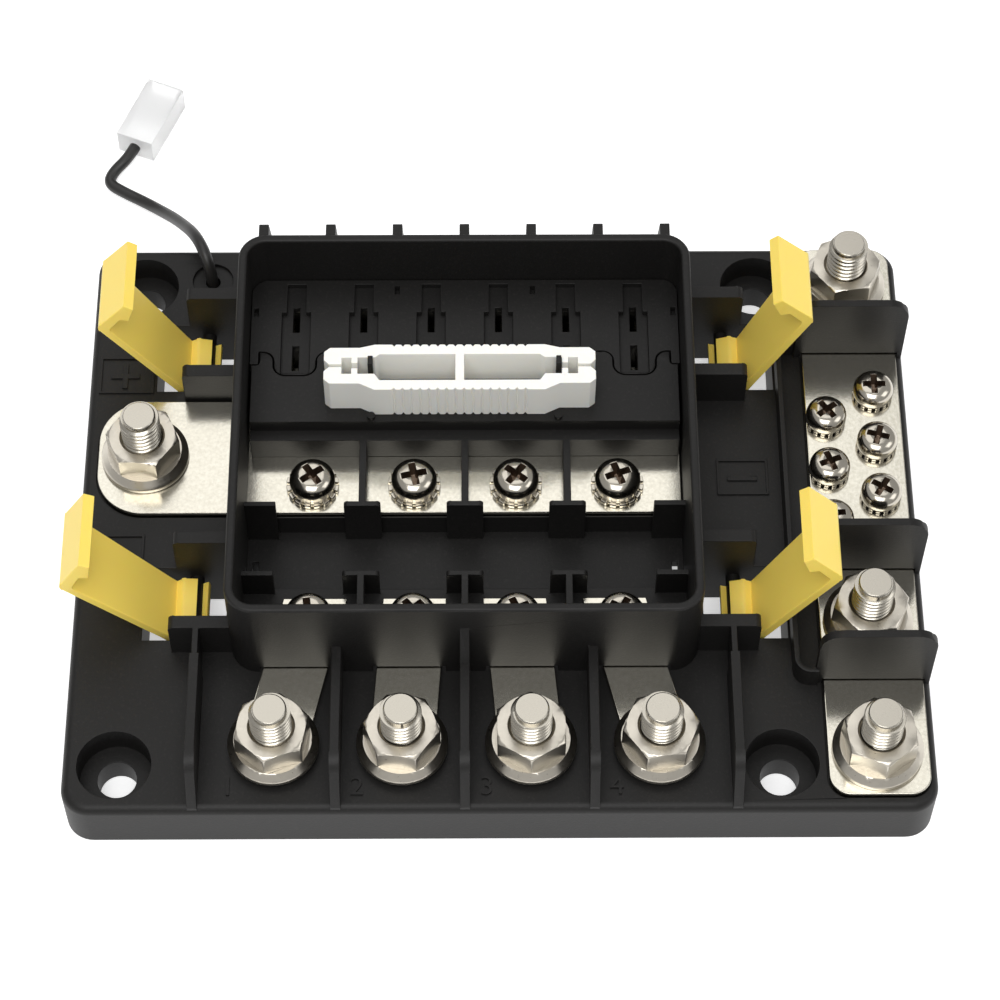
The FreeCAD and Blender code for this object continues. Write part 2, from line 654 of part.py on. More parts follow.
def holes(body):
    drill(body, "counterbores", MOUNTS, S.counterbore_radius, S.deck_height, S.counterbore_floor)
    drill(body, "mounting_holes", MOUNTS, S.mount_hole_radius, S.counterbore_floor, 0)
    drill(body, "stud_holes", STUDS, S.stud_radius + S.stud_clearance, S.deck_height, UNDER_DECK)
    sketch = new_sketch(body, "head_pockets")
    for x, y in STUDS:
        hexagon(sketch, x, y, S.head_across_flats + S.head_clearance * 2)
    pocket(body, sketch, UNDER_DECK, reverse=True)
    insert = S.screw_radius + S.insert_wall
    small = S.small_screw_radius + S.insert_wall
    drill(body, "bus_row_inserts", BUS_ROW, insert, SEAT, SEAT - S.insert_depth)
    drill(body, "tab_row_inserts", TAB_ROW, insert, S.deck_height, S.deck_height - S.insert_depth)
    drill(body, "negative_inserts", NEGATIVE_SCREWS, small, SEAT, SEAT - S.insert_depth)
    drill(body, "terminal_inserts", TERMINAL_SPOTS, small,
          S.deck_height, S.deck_height - S.insert_depth)
    half = S.vent_width / 2
    front = S.vent_y - S.vent_length / 2
    rear = S.vent_y + S.vent_length / 2
    middles = (S.box_centre_x - S.vent_x, S.box_centre_x + S.vent_x)
    vents = [(x - half, x + half, front, rear) for x in middles]
    sinks(body, "vents", vents, S.well_floor, 0)
    floor = S.deck_height - S.lead_recess_depth
    drill(body, "lead_recess", [(S.lead_x, S.lead_y)], S.lead_recess_radius, S.deck_height, floor)
    drill(body, "lead_hole", [(S.lead_x, S.lead_y)], S.lead_radius + S.lead_hole_clearance,
          floor, S.lead_foot)


# The housing's underside: hollow inside the skirt, except around the bosses and ribs.

def block(name, left, right, front, rear, low, high):
    made = DOC.addObject("Part::Box", name)
    tie(made, "Length", right - left)
    tie(made, "Width", rear - front)
    tie(made, "Height", high - low)
    place(made, left, front, low)
    return made


def drum(name, x, y, radius, low, high):
    made = DOC.addObject("Part::Cylinder", name)
    tie(made, "Radius", radius)
    tie(made, "Height", high - low)
    place(made, x, y, low)
    return made


def cut(name, base, tool):
    made = DOC.addObject("Part::Cut", name)
    made.Base = base
    made.Tool = tool
    made.Refine = False
    return made


def underside_solids():
    """Bosses, ribs and boxes that stay solid under the deck."""
    solids = []
    rim_x = S.base_width / 2
    rim_y = S.base_depth / 2
    for x, y in MOUNTS:
        solids.append(drum("mount_boss", x, y, S.counterbore_radius + S.mount_boss_wall,
                           0, S.deck_height))
    head_room = (S.head_across_flats + S.head_clearance * 2) * 0.57735
    for x, y in STUDS:
        solids.append(drum("stud_boss", x, y, head_room + S.stud_boss_wall,
                           UNDER_DECK - S.head_thickness, S.deck_height))
    insert = S.screw_radius + S.insert_wall * 2
    low = SEAT - S.insert_depth - S.insert_wall
    for x, y in BUS_ROW + TAB_ROW + NEGATIVE_SCREWS:
        solids.append(drum("insert_boss", x, y, insert, low, S.deck_height))
    for x, y in TERMINAL_SPOTS:
        solids.append(drum("terminal_boss", x, y, S.small_screw_radius + S.insert_wall * 2,
                           low, S.deck_height))
    solids.append(block("well_shell", INNER_LEFT - S.well_shell, INNER_RIGHT + S.well_shell,
                        S.well_front - S.well_shell, S.well_rear + S.well_shell,
                        S.well_floor - S.well_shell, S.deck_height))
    solids.append(drum("lead_boss", S.lead_x, S.lead_y, S.lead_recess_radius,
                       S.lead_foot - S.well_shell, S.deck_height))
    wall = S.skirt_thickness
    half = S.ear_gap / 2 + wall
    for y in LATCH_Y:
        solids.append(block("left_frame", BOX_LEFT - S.window_far - wall, BOX_LEFT, y - half,
                            y + half, 0, S.deck_height))
        solids.append(block("right_frame", BOX_RIGHT, BOX_RIGHT + S.window_far + wall, y - half,
                            y + half, 0, S.deck_height))
    rib = S.under_rib_thickness / 2
    for x in (-S.output_pitch * 2, S.output_pitch * 2):
        solids.append(block("rib_along_y", x - rib, x + rib, -rim_y, rim_y, 0, S.deck_height))
    solids.append(block("rib_along_x", -rim_x, rim_x, -rib, rib, 0, S.deck_height))
    return solids


def housing():
    """The black moulding in two sub-parts that meet at the deck: its base and its walls."""
    base = new_body("base_moulding")
    base_slab(base)
    latch_windows(base)
    seats_in_deck(base)
    holes(base)
    walls = new_body("wall_moulding")
    box_walls(walls)
    bay_stops(walls)
    latch_ears(walls)
    stud_ribs(walls)
    rear_dividers(walls)
    negative_side(walls)
    conductor_slots(walls)
    wall = S.skirt_thickness
    room = block("underside_room", -S.base_width / 2 + wall, S.base_width / 2 - wall,
                 -S.base_depth / 2 + wall, S.base_depth / 2 - wall, 0, UNDER_DECK)
    kept = DOC.addObject("Part::MultiFuse", "underside_solids")
    kept.Shapes = underside_solids()
    hollow = cut("underside_hollow", room, kept)
    kept.Refine = False
    shell = cut("housing", base, hollow)
    return [shell, cut("housing_walls", walls, shell)]


# Plates, tabs and the fasteners that hold them.

def positive_bus_plate():
    body = new_body("positive_bus_plate")
    sketch = new_sketch(body, "plate_outline", offset=SEAT)
    right = INNER_RIGHT - S.plate_clearance
    tail_left = INNER_LEFT + S.plate_clearance
    tail = POSITIVE_REAR + S.positive_tail
    outline(sketch, [
        (S.positive_left, S.positive_front, S.positive_radius), (right, S.positive_front),
        (right, tail), (tail_left, tail), (tail_left, POSITIVE_REAR),
        (S.positive_left, POSITIVE_REAR, S.positive_radius),
    ])
    pad(body, sketch, S.plate_thickness)
    spot = [(S.positive_stud_x, S.positive_stud_y)]
    drill(body, "stud_hole", spot, S.stud_radius + S.stud_clearance, S.plate_top, SEAT)
    drill(body, "screw_holes", BUS_ROW, S.screw_radius + S.screw_clearance, S.plate_top, SEAT)
    return body


def negative_bus_plate():
    body = new_body("negative_bus_plate")
    slab(body, "plate_outline", S.negative_left, NEGATIVE_RIGHT, S.negative_front,
         S.negative_rear, SEAT, S.plate_top, S.negative_radius)
    spots = [(S.negative_stud_x, y) for y in NEGATIVE_STUD_Y]
    drill(body, "stud_holes", spots, S.stud_radius + S.stud_clearance, S.plate_top, SEAT)
    drill(body, "screw_holes", NEGATIVE_SCREWS, S.small_screw_radius + S.screw_clearance,
          S.plate_top, SEAT)
    return body


def output_tab(step):
    body = new_body(f"output_tab_{step + 1}")
    sketch = new_sketch(body, "tab_outline", offset=S.deck_height)
    half = S.tab_width / 2
    nose = S.output_stud_y - half
    front = along_tab(step, nose)
    rear = along_tab(step, S.tab_rear)
    outline(sketch, [
        (front - half, nose, S.tab_nose), (front + half, nose, S.tab_nose),
        (rear + half, S.tab_rear), (rear - half, S.tab_rear),
    ])
    pad(body, sketch, S.tab_thickness)
    drill(body, "stud_hole", [(OUTPUT_X[step], S.output_stud_y)],
          S.stud_radius + S.stud_clearance, TAB_TOP, S.deck_height)
    drill(body, "screw_hole", [(BAY_X[step], S.tab_row_y)],
          S.screw_radius + S.screw_clearance, TAB_TOP, S.deck_height)
    return body


def stud_master():
    """A hexagon-head bolt used as a stud; its head's upper face is at height zero.

    Where it is in its nut it has the thread's pitch radius, which the two threads share.
    """
    body = new_body("stud_master")
    sketch = new_sketch(body, "head", offset=-S.head_thickness)
    hexagon(sketch, 0, 0, S.head_across_flats)
    pad(body, sketch, S.head_thickness)
    sketch = new_sketch(body, "shank")
    circle(sketch, 0, 0, S.stud_radius)
    pad(body, sketch, S.stud_top - UNDER_DECK)
    top = S.stud_top.value - UNDER_DECK.value
    soften(body, "Chamfer", "stud_tip", S.stud_chamfer, lambda edge: level(edge, top))
    sketch = new_sketch(body, "nut_engagement", "XZ_Plane")
    low = S.plate_top - UNDER_DECK
    high = TAB_TOP + S.nut_height + S.stud_runout - UNDER_DECK
    rectangle(sketch, S.stud_pitch_radius, S.stud_radius + 1, low, high)
    turned(body, "Groove", sketch)
    return body


def nut_master():
    """A flange nut standing on height zero."""
    body = new_body("nut_master")
    point = S.nut_across_flats * 0.57735
    sketch = new_sketch(body, "flange", "XZ_Plane")
    rise = S.nut_flange_edge + S.nut_flange_slope
    outline(sketch, [
        (0, 0), (S.nut_flange_radius, 0), (S.nut_flange_radius, S.nut_flange_edge),
        (point, rise), (0, rise),
    ])
    turned(body, "Revolution", sketch)
    sketch = new_sketch(body, "hexagon")
    hexagon(sketch, 0, 0, S.nut_across_flats)
    pad(body, sketch, S.nut_height)
    sketch = new_sketch(body, "top_bevel", "XZ_Plane")
    flat = S.nut_across_flats / 2
    outline(sketch, [
        (flat, S.nut_height), (point + 1, S.nut_height), (point + 1, S.nut_height - S.nut_bevel),
    ])
    turned(body, "Groove", sketch)
    drill(body, "bore", [(0, 0)], S.stud_pitch_radius + S.nut_thread_gap, S.nut_height, 0)
    mouth = S.stud_radius + S.nut_countersink
    sketch = new_sketch(body, "countersink", "XZ_Plane")
    outline(sketch, [
        (S.stud_pitch_radius, S.nut_height), (mouth, S.nut_height),
        (S.stud_pitch_radius, S.nut_height - mouth + S.stud_pitch_radius),
    ])
    turned(body, "Groove", sketch)
    return body


def screw_master(name, radius, head_radius, head_height, edge, dome, length):
    """A pan head cross recess screw; the underside of its head is at height zero."""
    body = new_body(name)
    sketch = new_sketch(body, f"{name}_profile", "XZ_Plane")
    outline(sketch, [
        (0, -length), (radius - 0.4, -length), (radius, 0.4 - length), (radius, 0),
        (head_radius, 0), (head_radius, edge), (head_radius, head_height, dome), (0, head_height),
    ])
    turned(body, "Revolution", sketch)
    sketch = new_sketch(body, f"{name}_recess", offset=head_height)
    arm = S.recess_arm / 2
    reach = S.recess_reach * head_radius / S.screw_head_radius
    outline(sketch, [
        (arm, arm), (arm, reach), (-arm, reach), (-arm, arm), (-reach, arm), (-reach, -arm),
        (-arm, -arm), (-arm, -reach), (arm, -reach), (arm, -arm), (reach, -arm), (reach, arm),
    ])
    pocket(body, sketch, S.recess_depth)
    return body


def washer_master(name, radius, hole, thickness):
    """An externally toothed lock washer standing on height zero."""
    body = new_body(name)
    sketch = new_sketch(body, f"{name}_ring")
    circle(sketch, 0, 0, radius)
    circle(sketch, 0, 0, hole)
    pad(body, sketch, thickness)
    sketch = new_sketch(body, f"{name}_tooth_gap", offset=thickness)
    half = S.washer_tooth / 2
    rectangle(sketch, radius - S.washer_tooth * 1.5, radius + 1, -half, half)
    made = pocket(body, sketch, thickness)
    axis = next(item for item in body.Origin.OriginFeatures if item.Role == "Z_Axis")
    ring = body.newObject("PartDesign::PolarPattern", f"{name}_tooth_ring")
    ring.Originals = [made]
    ring.Axis = (axis, [""])
    ring.Angle = 360
    tie(ring, "Occurrences", S.washer_teeth)
    body.Tip = ring
    return body


def insert_master(name, radius):
    """A threaded insert whose upper face is at height zero."""
    body = new_body(name)
    sketch = new_sketch(body, f"{name}_ring", offset=-S.insert_depth)
    circle(sketch, 0, 0, radius + S.insert_wall)
    circle(sketch, 0, 0, radius + S.nut_thread_gap)
    pad(body, sketch, S.insert_depth)
    return body


def clip_outline(sketch):
    """Profile of a blade clip, open at the top and narrowest at its throat."""
    base = S.clip_spread / 2
    wall = S.clip_thickness
    throat = S.clip_throat / 2
    low = wall * 2
    high = S.clip_height * 0.72
    outline(sketch, [
        (-base, 0), (base, 0), (base, low), (throat + wall, high), (base, S.clip_height),
        (base - wall, S.clip_height), (throat, high), (base - wall, low), (base - wall, wall),
        (wall - base, wall), (wall - base, low), (-throat, high), (wall - base, S.clip_height),
        (-base, S.clip_height), (-throat - wall, high), (-base, low),
    ])


def clip_master():
    """A blade clip, its base at height zero."""
    body = new_body("clip_master")
    sketch = new_sketch(body, "clip_profile", "XZ_Plane")
    clip_outline(sketch)
    pad(body, sketch, S.clip_width, middle=True)
    return body


def terminal_master():
    """Rear blade clip and output strip in one; its underside is at height zero, its X at the clip."""
    body = new_body("terminal_master")
    half = S.terminal_width / 2
    slab(body, "strip", -half, half, S.terminal_front, S.terminal_rear, 0, S.terminal_thickness)
    clip = S.clip_width / 2
    sketch = new_sketch(body, "strip_clip", "XZ_Plane", -(S.output_slot_y + clip))
    base = S.terminal_thickness - 0.05
    wall = S.clip_thickness
    spread = S.clip_spread / 2
    throat = S.clip_throat / 2
    high = base + S.clip_height * 0.72
    top = base + S.clip_height
    for side in (-1, 1):
        outline(sketch, [
            (spread * side, base), (spread * side, base + wall * 2),
            ((throat + wall) * side, high), (spread * side, top), ((spread - wall) * side, top),
            (throat * side, high), ((spread - wall) * side, base + wall * 2),
            ((spread - wall) * side, base),
        ])
    pad(body, sketch, S.clip_width)
    drill(body, "strip_hole", [(0, S.terminal_screw_y)],
          S.small_screw_radius + S.screw_clearance, S.terminal_thickness, 0)
    return body


def group(label, master, spots, pitch=0.0):
    """Copies of one piece at the spots (x, y, z) or (x, y, z, yaw), as one sub-part."""
    copies = []
    for spot in spots:
        copy = DOC.addObject("App::Link", f"{label}_copy")
        copy.LinkedObject = master
        place(copy, *spot[:3])
        if len(spot) > 3:
            tie(copy, "Placement.Rotation.Yaw", spot[3])
        if sized(pitch).value:
            tie(copy, "Placement.Rotation.Pitch", pitch)
        copies.append(copy)
    made = DOC.addObject("Part::Compound", label)
    made.Links = copies
    made.Label = label
    return made


def at_height(spots, z):
    return [(x, y, z) for x, y in spots]


def fasteners():
    stud = stud_master()
    nut = nut_master()
    screw = screw_master("screw_master", S.screw_radius, S.screw_head_radius,
                         S.screw_head_height, S.screw_head_edge, S.screw_dome, S.screw_length)
    small, strip_screw = (
        screw_master(name, S.small_screw_radius, S.small_head_radius, S.small_head_height,
                     S.small_head_edge, S.small_head_dome, length)
        for name, length in (("small_screw_master", S.small_screw_length),
                             ("strip_screw_master", S.strip_screw_length))
    )
    washer = washer_master("washer_master", S.washer_radius,
                           S.screw_radius + S.screw_clearance, S.washer_thickness)
    small_washer = washer_master("small_washer_master", S.small_washer_radius,
                                 S.small_screw_radius + S.screw_clearance,
                                 S.small_washer_thickness)
    insert = insert_master("insert_master", S.screw_radius)
    small_insert = insert_master("small_insert_master", S.small_screw_radius)
    on_washer = S.plate_top + S.washer_thickness
    on_small_washer = S.plate_top + S.small_washer_thickness
    nuts = [
        (x, y, TAB_TOP if number <= 4 else S.plate_top, getattr(S, f"nut_turn_{number}"))
        for number, (x, y) in enumerate(STUDS, start=1)
    ]
    return [
        group("positive_stud", stud, at_height(STUDS[4:5], UNDER_DECK)),
        group("output_studs", stud, at_height(STUDS[:4], UNDER_DECK)),
        group("negative_studs", stud, at_height(STUDS[5:], UNDER_DECK)),
        group("positive_nut", nut, nuts[4:5]),
        group("output_nuts", nut, nuts[:4]),
        group("negative_nuts", nut, nuts[5:]),
        group("bus_row_screws", screw, at_height(BUS_ROW, on_washer)),
        group("tab_row_screws", screw, at_height(TAB_ROW, TAB_TOP + S.washer_thickness)),
        group("negative_screws", small, at_height(NEGATIVE_SCREWS, on_small_washer)),
        group("bus_row_lock_washers", washer, at_height(BUS_ROW, S.plate_top)),
        group("tab_row_lock_washers", washer, at_height(TAB_ROW, TAB_TOP)),
        group("negative_lock_washers", small_washer, at_height(NEGATIVE_SCREWS, S.plate_top)),
        group("fuse_screw_inserts", insert,
              at_height(BUS_ROW, SEAT) + at_height(TAB_ROW, S.deck_height)),
        group("negative_screw_inserts", small_insert, at_height(NEGATIVE_SCREWS, SEAT)),
        group("output_terminal_screws", strip_screw, at_height(TERMINAL_SPOTS, STRIP_TOP)),
        group("output_terminal_inserts", small_insert, at_height(TERMINAL_SPOTS, S.deck_height)),
    ]


def clips_and_terminals():
    clip = clip_master()
    terminal = terminal_master()
    made = []
    for number, x in enumerate(SEAT_X, start=1):
        made.append(group(f"bus_clip_{number}", clip, [(x, S.bus_slot_y, S.plate_top)]))
        made.append(group(f"output_terminal_{number}", terminal, [(x, 0, S.deck_height)]))
    return made


# The two mouldings over the rear of the compartment, and the wavy seam between them.

def seam(shift):
    """Corners of the seam from left to right, moved forward by shift and outward round tongues."""
    half = S.tongue_width / 2 + shift
    front = S.seam_low - shift
    root = S.seam_high - shift
    end = S.seam_end - shift
    left = INNER_LEFT + S.seam_end_width
    right = INNER_RIGHT - S.seam_end_width
    convex = S.tongue_radius + shift
    concave = S.tongue_radius - shift
    outside = S.seam_corner + shift
    inside = S.seam_corner - shift
    corners = [(left + shift, end, outside), (left + shift, root, inside)]
    for x in SEAT_X:
        corners.extend([
            (x - half, root, concave), (x - half, front, convex),
            (x + half, front, convex), (x + half, root, concave),
        ])
    corners.extend([(right - shift, root, inside), (right - shift, end, outside)])
    return corners


def blade_fuse_bank():
    body = new_body("blade_fuse_bank")
    left = INNER_LEFT + S.bank_fit
    right = INNER_RIGHT - S.bank_fit
    rear = INNER_REAR - S.bank_fit
    sketch = new_sketch(body, "bank_outline", offset=S.plate_top)
    round_end = S.box_corner_radius - S.box_wall - S.bank_fit
    corners = [(left, rear, round_end), (left, S.seam_end)]
    corners.extend(seam(0.0))
    corners.extend([(right, S.seam_end), (right, rear, round_end)])
    outline(sketch, corners)
    pad(body, sketch, S.bank_top - S.plate_top)
    seats = []
    slots = []
    cavities = []
    half_slot = S.slot_width / 2
    half_room = S.cavity_width / 2
    middle = POSITIVE_REAR + S.positive_tail + 0.6
    for x in SEAT_X:
        seats.append((x - S.seat_width / 2, x + S.seat_width / 2, S.seat_front, S.seat_step))
        for y in (S.bus_slot_y, S.output_slot_y):
            slots.append((x - half_slot, x + half_slot, y - S.slot_length / 2,
                          y + S.slot_length / 2))
        cavities.append((x - half_room, x + half_room, S.cavity_front, middle))
        cavities.append((x - half_room, x + half_room, middle + S.cavity_split, S.cavity_rear))
    narrow = [
        (x - S.seat_rear_width / 2, x + S.seat_rear_width / 2, S.seat_step - 0.5, S.seat_rear)
        for x in SEAT_X
    ]
    floor = S.bank_top - S.seat_depth
    sinks(body, "seats", seats, S.bank_top, floor)
    sinks(body, "narrow_seats", narrow, S.bank_top, floor)
    sinks(body, "blade_slots", slots, floor, S.bank_top - S.bank_skin)
    sinks(body, "cavities", cavities, S.bank_top - S.bank_skin, S.plate_top)
    half_pin = S.pin_slot_width / 2
    pins = []
    for across, y in ((S.pin_outer_x, S.pin_outer_y), (S.pin_inner_x, S.pin_inner_y)):
        for x in (S.box_centre_x - across, S.box_centre_x + across):
            pins.append((x - half_pin, x + half_pin, y - S.pin_slot_length / 2,
                         y + S.pin_slot_length / 2))
    sinks(body, "pin_slots", pins, S.bank_top, S.bank_top - S.pin_slot_depth)
    return body


def bus_cover():
    body = new_body("bus_cover")
    left = INNER_LEFT + S.cover_gap
    right = INNER_RIGHT - S.cover_gap
    sketch = new_sketch(body, "cover_outline", offset=S.plate_top)
    corners = [(left, S.cover_front), (left, S.seam_end - S.seam_gap)]
    corners.extend(seam(S.seam_gap))
    corners.extend([(right, S.seam_end - S.seam_gap), (right, S.cover_front)])
    outline(sketch, corners)
    pad(body, sketch, S.bank_top - S.plate_top)
    slab(body, "ledge", left, right, S.ledge_front, S.cover_front + 0.5,
         S.plate_top, S.ledge_height)
    half = S.bay_wall / 2
    rear = S.well_rear - 0.5
    walls = [(x - half, x + half, rear - 0.5, S.ledge_front + 0.5) for x in BAY_WALL_X]
    slabs(body, "bay_walls", walls, S.plate_top, S.bay_wall_height)
    crossbars(body, "rear_bars", rear, S.well_floor + 0.3)
    skin = S.cover_skin
    sink(body, "cover_room", left + skin, right - skin, S.cover_front + skin,
         S.seam_low - S.seam_gap - skin, S.bank_top - skin, S.plate_top)
    post = S.post_thickness / 2
    posts = []
    for side in (-1, 1):
        x = S.box_centre_x + S.post_offset * side
        posts.append((x - post, x + post, S.post_y - S.post_depth / 2, S.post_y + S.post_depth / 2))
    slabs(body, "posts", posts, S.bank_top, S.bank_top + S.post_height)
    sketch = new_sketch(body, "gussets", "XZ_Plane", -(S.post_y + S.post_depth / 2))
    for side in (-1, 1):
        face = S.box_centre_x + (S.post_offset - post) * side
        outline(sketch, [
            (face, S.bank_top), (face - S.gusset * side, S.bank_top), (face, S.bank_top + S.gusset),
        ])
    pad(body, sketch, S.post_depth)
    sketch = new_sketch(body, "nubs", offset=S.bank_top)
    for side in (-1, 1):
        circle(sketch, S.box_centre_x + S.post_offset * side, S.nub_y, S.nub_radius)
    pad(body, sketch, S.nub_height)
    return body


def puller_half(front, bar, bulge):
    """Corners of one bar, right end first, measured outward from the slit: y grows outward."""
    half = S.puller_length / 2
    inner = front - bar
    jaw = S.puller_slit / 2
    block_y = inner - S.jaw_reach
    groove = half - S.jaw_length
    block = groove - S.jaw_groove
    step = block - S.jaw_step
    swell = S.puller_bulge_half
    return [
        (half, jaw + 1.0), (half, front - 1.0), (half - 1.2, front), (swell + 3.0, front),
        (swell, front + bulge), (-swell, front + bulge), (-swell - 3.0, front),
        (1.2 - half, front), (-half, front - 1.0), (-half, jaw + 1.0), (1.0 - half, jaw),
        (-groove, jaw), (-groove, inner), (-block, inner), (-block, block_y), (-step, block_y),
        (-step, inner), (-swell, inner), (1.0 - swell, inner + bulge), (swell - 1.0, inner + bulge),
        (swell, inner), (step, inner), (step, block_y), (block, block_y), (block, inner),
        (groove, inner), (groove, jaw), (half - 1.0, jaw),
    ]


def fuse_puller():
    """Tweezers: two bars joined at their middle, drawn about the slit between their jaws."""
    body = new_body("fuse_puller")
    slit = (S.puller_front + S.puller_rear) / 2
    reach = (S.puller_rear - S.puller_front) / 2
    sketch = new_sketch(body, "bars", offset=S.bank_top)
    for side, bulge in ((-1, S.puller_bulge), (1, S.puller_bulge / 2)):
        corners = [
            (S.puller_centre_x + x, slit + y * side)
            for x, y in puller_half(reach, S.puller_bar, bulge)
        ]
        outline(sketch, corners)
    pad(body, sketch, S.puller_height)
    half = S.puller_bridge / 2
    slab(body, "bridge", S.puller_centre_x - half, S.puller_centre_x + half,
         S.puller_front, S.puller_rear - 0.5, S.bank_top, S.bank_top + S.puller_height)
    depth = S.grip_depth
    reach_along = S.grip_pitch * (S.grip_count - 1)
    first = S.puller_centre_x - reach_along / 2
    for side, bulge in ((-1, S.puller_bulge), (1, S.puller_bulge / 2)):
        face = slit + (reach + bulge) * side
        sketch = new_sketch(body, "grip", offset=S.bank_top + S.puller_height)
        outline(sketch, [
            (first - depth, face + 0.1 * side), (first, face - depth * side),
            (first + depth, face + 0.1 * side),
        ])
        made = pocket(body, sketch, S.puller_height)
        row(body, [made], "X_Axis", reach_along, S.grip_count, "grips")
    return body


# Latches: drawn upright about the pin, then leaned outward by the open angle.

def latch_master():
    body = new_body("latch_master")
    setback = S.latch_setback
    outer = setback + S.latch_thickness
    under = S.latch_length + S.hook_under
    sketch = new_sketch(body, "arm", "XZ_Plane")
    outline(sketch, [
        (-outer, S.latch_foot),
        (-outer, S.latch_length + S.hook_thickness, S.latch_bend_radius),
        (S.hook_reach - outer + S.latch_setback - S.hook_tip,
         S.latch_length + S.hook_rise + S.hook_thickness),
        (S.hook_reach - S.latch_setback, S.latch_length + S.hook_rise),
        (S.hook_lip_reach, S.latch_length + S.hook_lip), (S.hook_step, under),
        (-setback, S.latch_length, S.latch_root_radius), (-setback, S.latch_foot),
    ])
    pad(body, sketch, S.latch_flare, middle=True)
    low = S.latch_width / 2
    high = S.latch_flare / 2
    top = S.latch_length + S.hook_rise + 3.0
    sketch = new_sketch(body, "flanks", "YZ_Plane")
    for side in (-1, 1):
        outline(sketch, [
            (low * side, 0), ((high + 2) * side, 0), ((high + 2) * side, top),
            (high * side, top), (high * side, S.latch_length), (low * side, S.latch_flare_start),
        ])
    pocket(body, sketch, S.latch_flare * 4, middle=True)
    ring = S.latch_pin_radius + S.latch_clearance + S.clip_wall
    sketch = new_sketch(body, "ring", "XZ_Plane")
    circle(sketch, 0, 0, ring)
    pad(body, sketch, S.latch_width, middle=True)
    sketch = new_sketch(body, "hump", "XZ_Plane")
    outline(sketch, [
        (-setback - 0.5, 0), (ring, 0), (S.clip_hump_reach, S.latch_setback),
        (0, S.clip_hump_height, S.clip_hump_radius), (-setback - 0.5, S.clip_hump_height),
    ])
    pad(body, sketch, S.latch_width, middle=True)
    sketch = new_sketch(body, "pin_bore", "XZ_Plane")
    circle(sketch, 0, 0, S.latch_pin_radius + S.latch_clearance)
    pocket(body, sketch, S.latch_width * 2, middle=True)
    sketch = new_sketch(body, "mouth", "XZ_Plane")
    outline(sketch, [
        (0, 0), (S.mouth_reach, -S.mouth_low), (S.mouth_reach, S.mouth_high),
        (S.mouth_near, S.mouth_high),
    ])
    pocket(body, sketch, S.latch_width * 2, middle=True)
    return body


def latches():
    master = latch_master()
    left = BOX_LEFT - S.latch_pin_reach
    right = BOX_RIGHT + S.latch_pin_reach
    high = S.latch_pin_height
    front = S.front_latch_y
    rear = S.rear_latch_y
    return [
        group("latch_front_left", master, [(left, front, high)], -S.front_left_lean),
        group("latch_rear_left", master, [(left, rear - S.rear_left_slide, high)],
              -S.rear_left_lean),
        group("latch_front_right", master, [(right, front - S.front_right_slide, high, 180)],
              -S.front_right_lean),
        group("latch_rear_right", master, [(right, rear - S.rear_right_slide, high, 180)],
              -S.rear_right_lean),
    ]


# The indicator lead and its connector.

def lead_points():
    """Corners of the lead's straight runs, from its hole to the connector."""
    yaw = math.radians(S.connector_lean.value)
    along = Vector(math.sin(yaw), math.cos(yaw), 0)
    height = S.connector_height.value / 2
    end = Vector(S.connector_x.value, S.connector_y.value, height) + along * S.lead_sink.value
    floor = S.lead_radius.value
    foot = Vector(S.lead_x.value, S.lead_y.value, S.lead_foot.value)
    return [
        foot, foot + Vector(-0.2, 0.5, 7.9), Vector(-62.7, 64.6, 18.6), Vector(-68.0, 75.5, 9.4),
        Vector(-72.6, 82.7, 3.2), Vector(-76.9, 86.7, floor), Vector(-81.1, 89.1, floor),
        Vector(-84.9, 91.6, floor), Vector(-84.1, 94.4, floor + 0.4), end - along * 4.0, end,
    ]


def lead_wire(points):
    """Straight runs joined by tangent arcs."""
    edges = []
    start = points[0]
    for before, corner, after in zip(points, points[1:], points[2:]):
        into = (corner - before).normalize()
        away = (after - corner).normalize()
        turn = into.getAngle(away)
        shorter = min((corner - before).Length, (after - corner).Length)
        trim = shorter * 0.45
        radius = trim / math.tan(turn / 2)
        near = corner - into * trim
        far = corner + away * trim
        centre_way = (away - into).normalize()
        middle = corner + centre_way * (radius / math.cos(turn / 2) - radius)
        print(f"lead bend radius {radius:.2f}")
        edges.append(Part.LineSegment(start, near).toShape())
        edges.append(Part.Arc(near, middle, far).toShape())
        start = far
    edges.append(Part.LineSegment(start, points[-1]).toShape())
    return Part.Wire(edges)


def indicator_lead():
    """A round cord; its course bends in three directions, so its shape is swept in code."""
    points = lead_points()
    wire = lead_wire(points)
    across = (points[1] - points[0]).normalize()
    section = Part.Wire(Part.Circle(points[0], across, S.lead_radius.value).toShape())
    made = DOC.addObject("Part::Feature", "indicator_lead")
    made.Label = "indicator_lead"
    made.Shape = wire.makePipeShell([section], True, False)
    area = math.pi * S.lead_radius.value ** 2
    print(f"lead length {wire.Length:.1f}, volume ratio {made.Shape.Volume / (area * wire.Length):.3f}")
    return made


def lead_connector():
    body = new_body("lead_connector")
    half = S.connector_width / 2
    wall = S.connector_wall
    high = S.connector_height
    slab(body, "shell", -half, half, 0, S.connector_length, 0, high)
    sketch = new_sketch(body, "plug_mouth", "XZ_Plane", -S.connector_length)
    rectangle(sketch, wall - half, half - wall, wall, high - wall)
    pocket(body, sketch, S.connector_depth, reverse=True)
    sketch = new_sketch(body, "lead_entry", "XZ_Plane")
    circle(sketch, 0, high / 2, S.lead_radius + S.nut_thread_gap)
    pocket(body, sketch, S.lead_sink)
    tie(body, "Placement.Base.x", S.connector_x)
    tie(body, "Placement.Base.y", S.connector_y)
    tie(body, "Placement.Rotation.Yaw", -S.connector_lean)
    return body


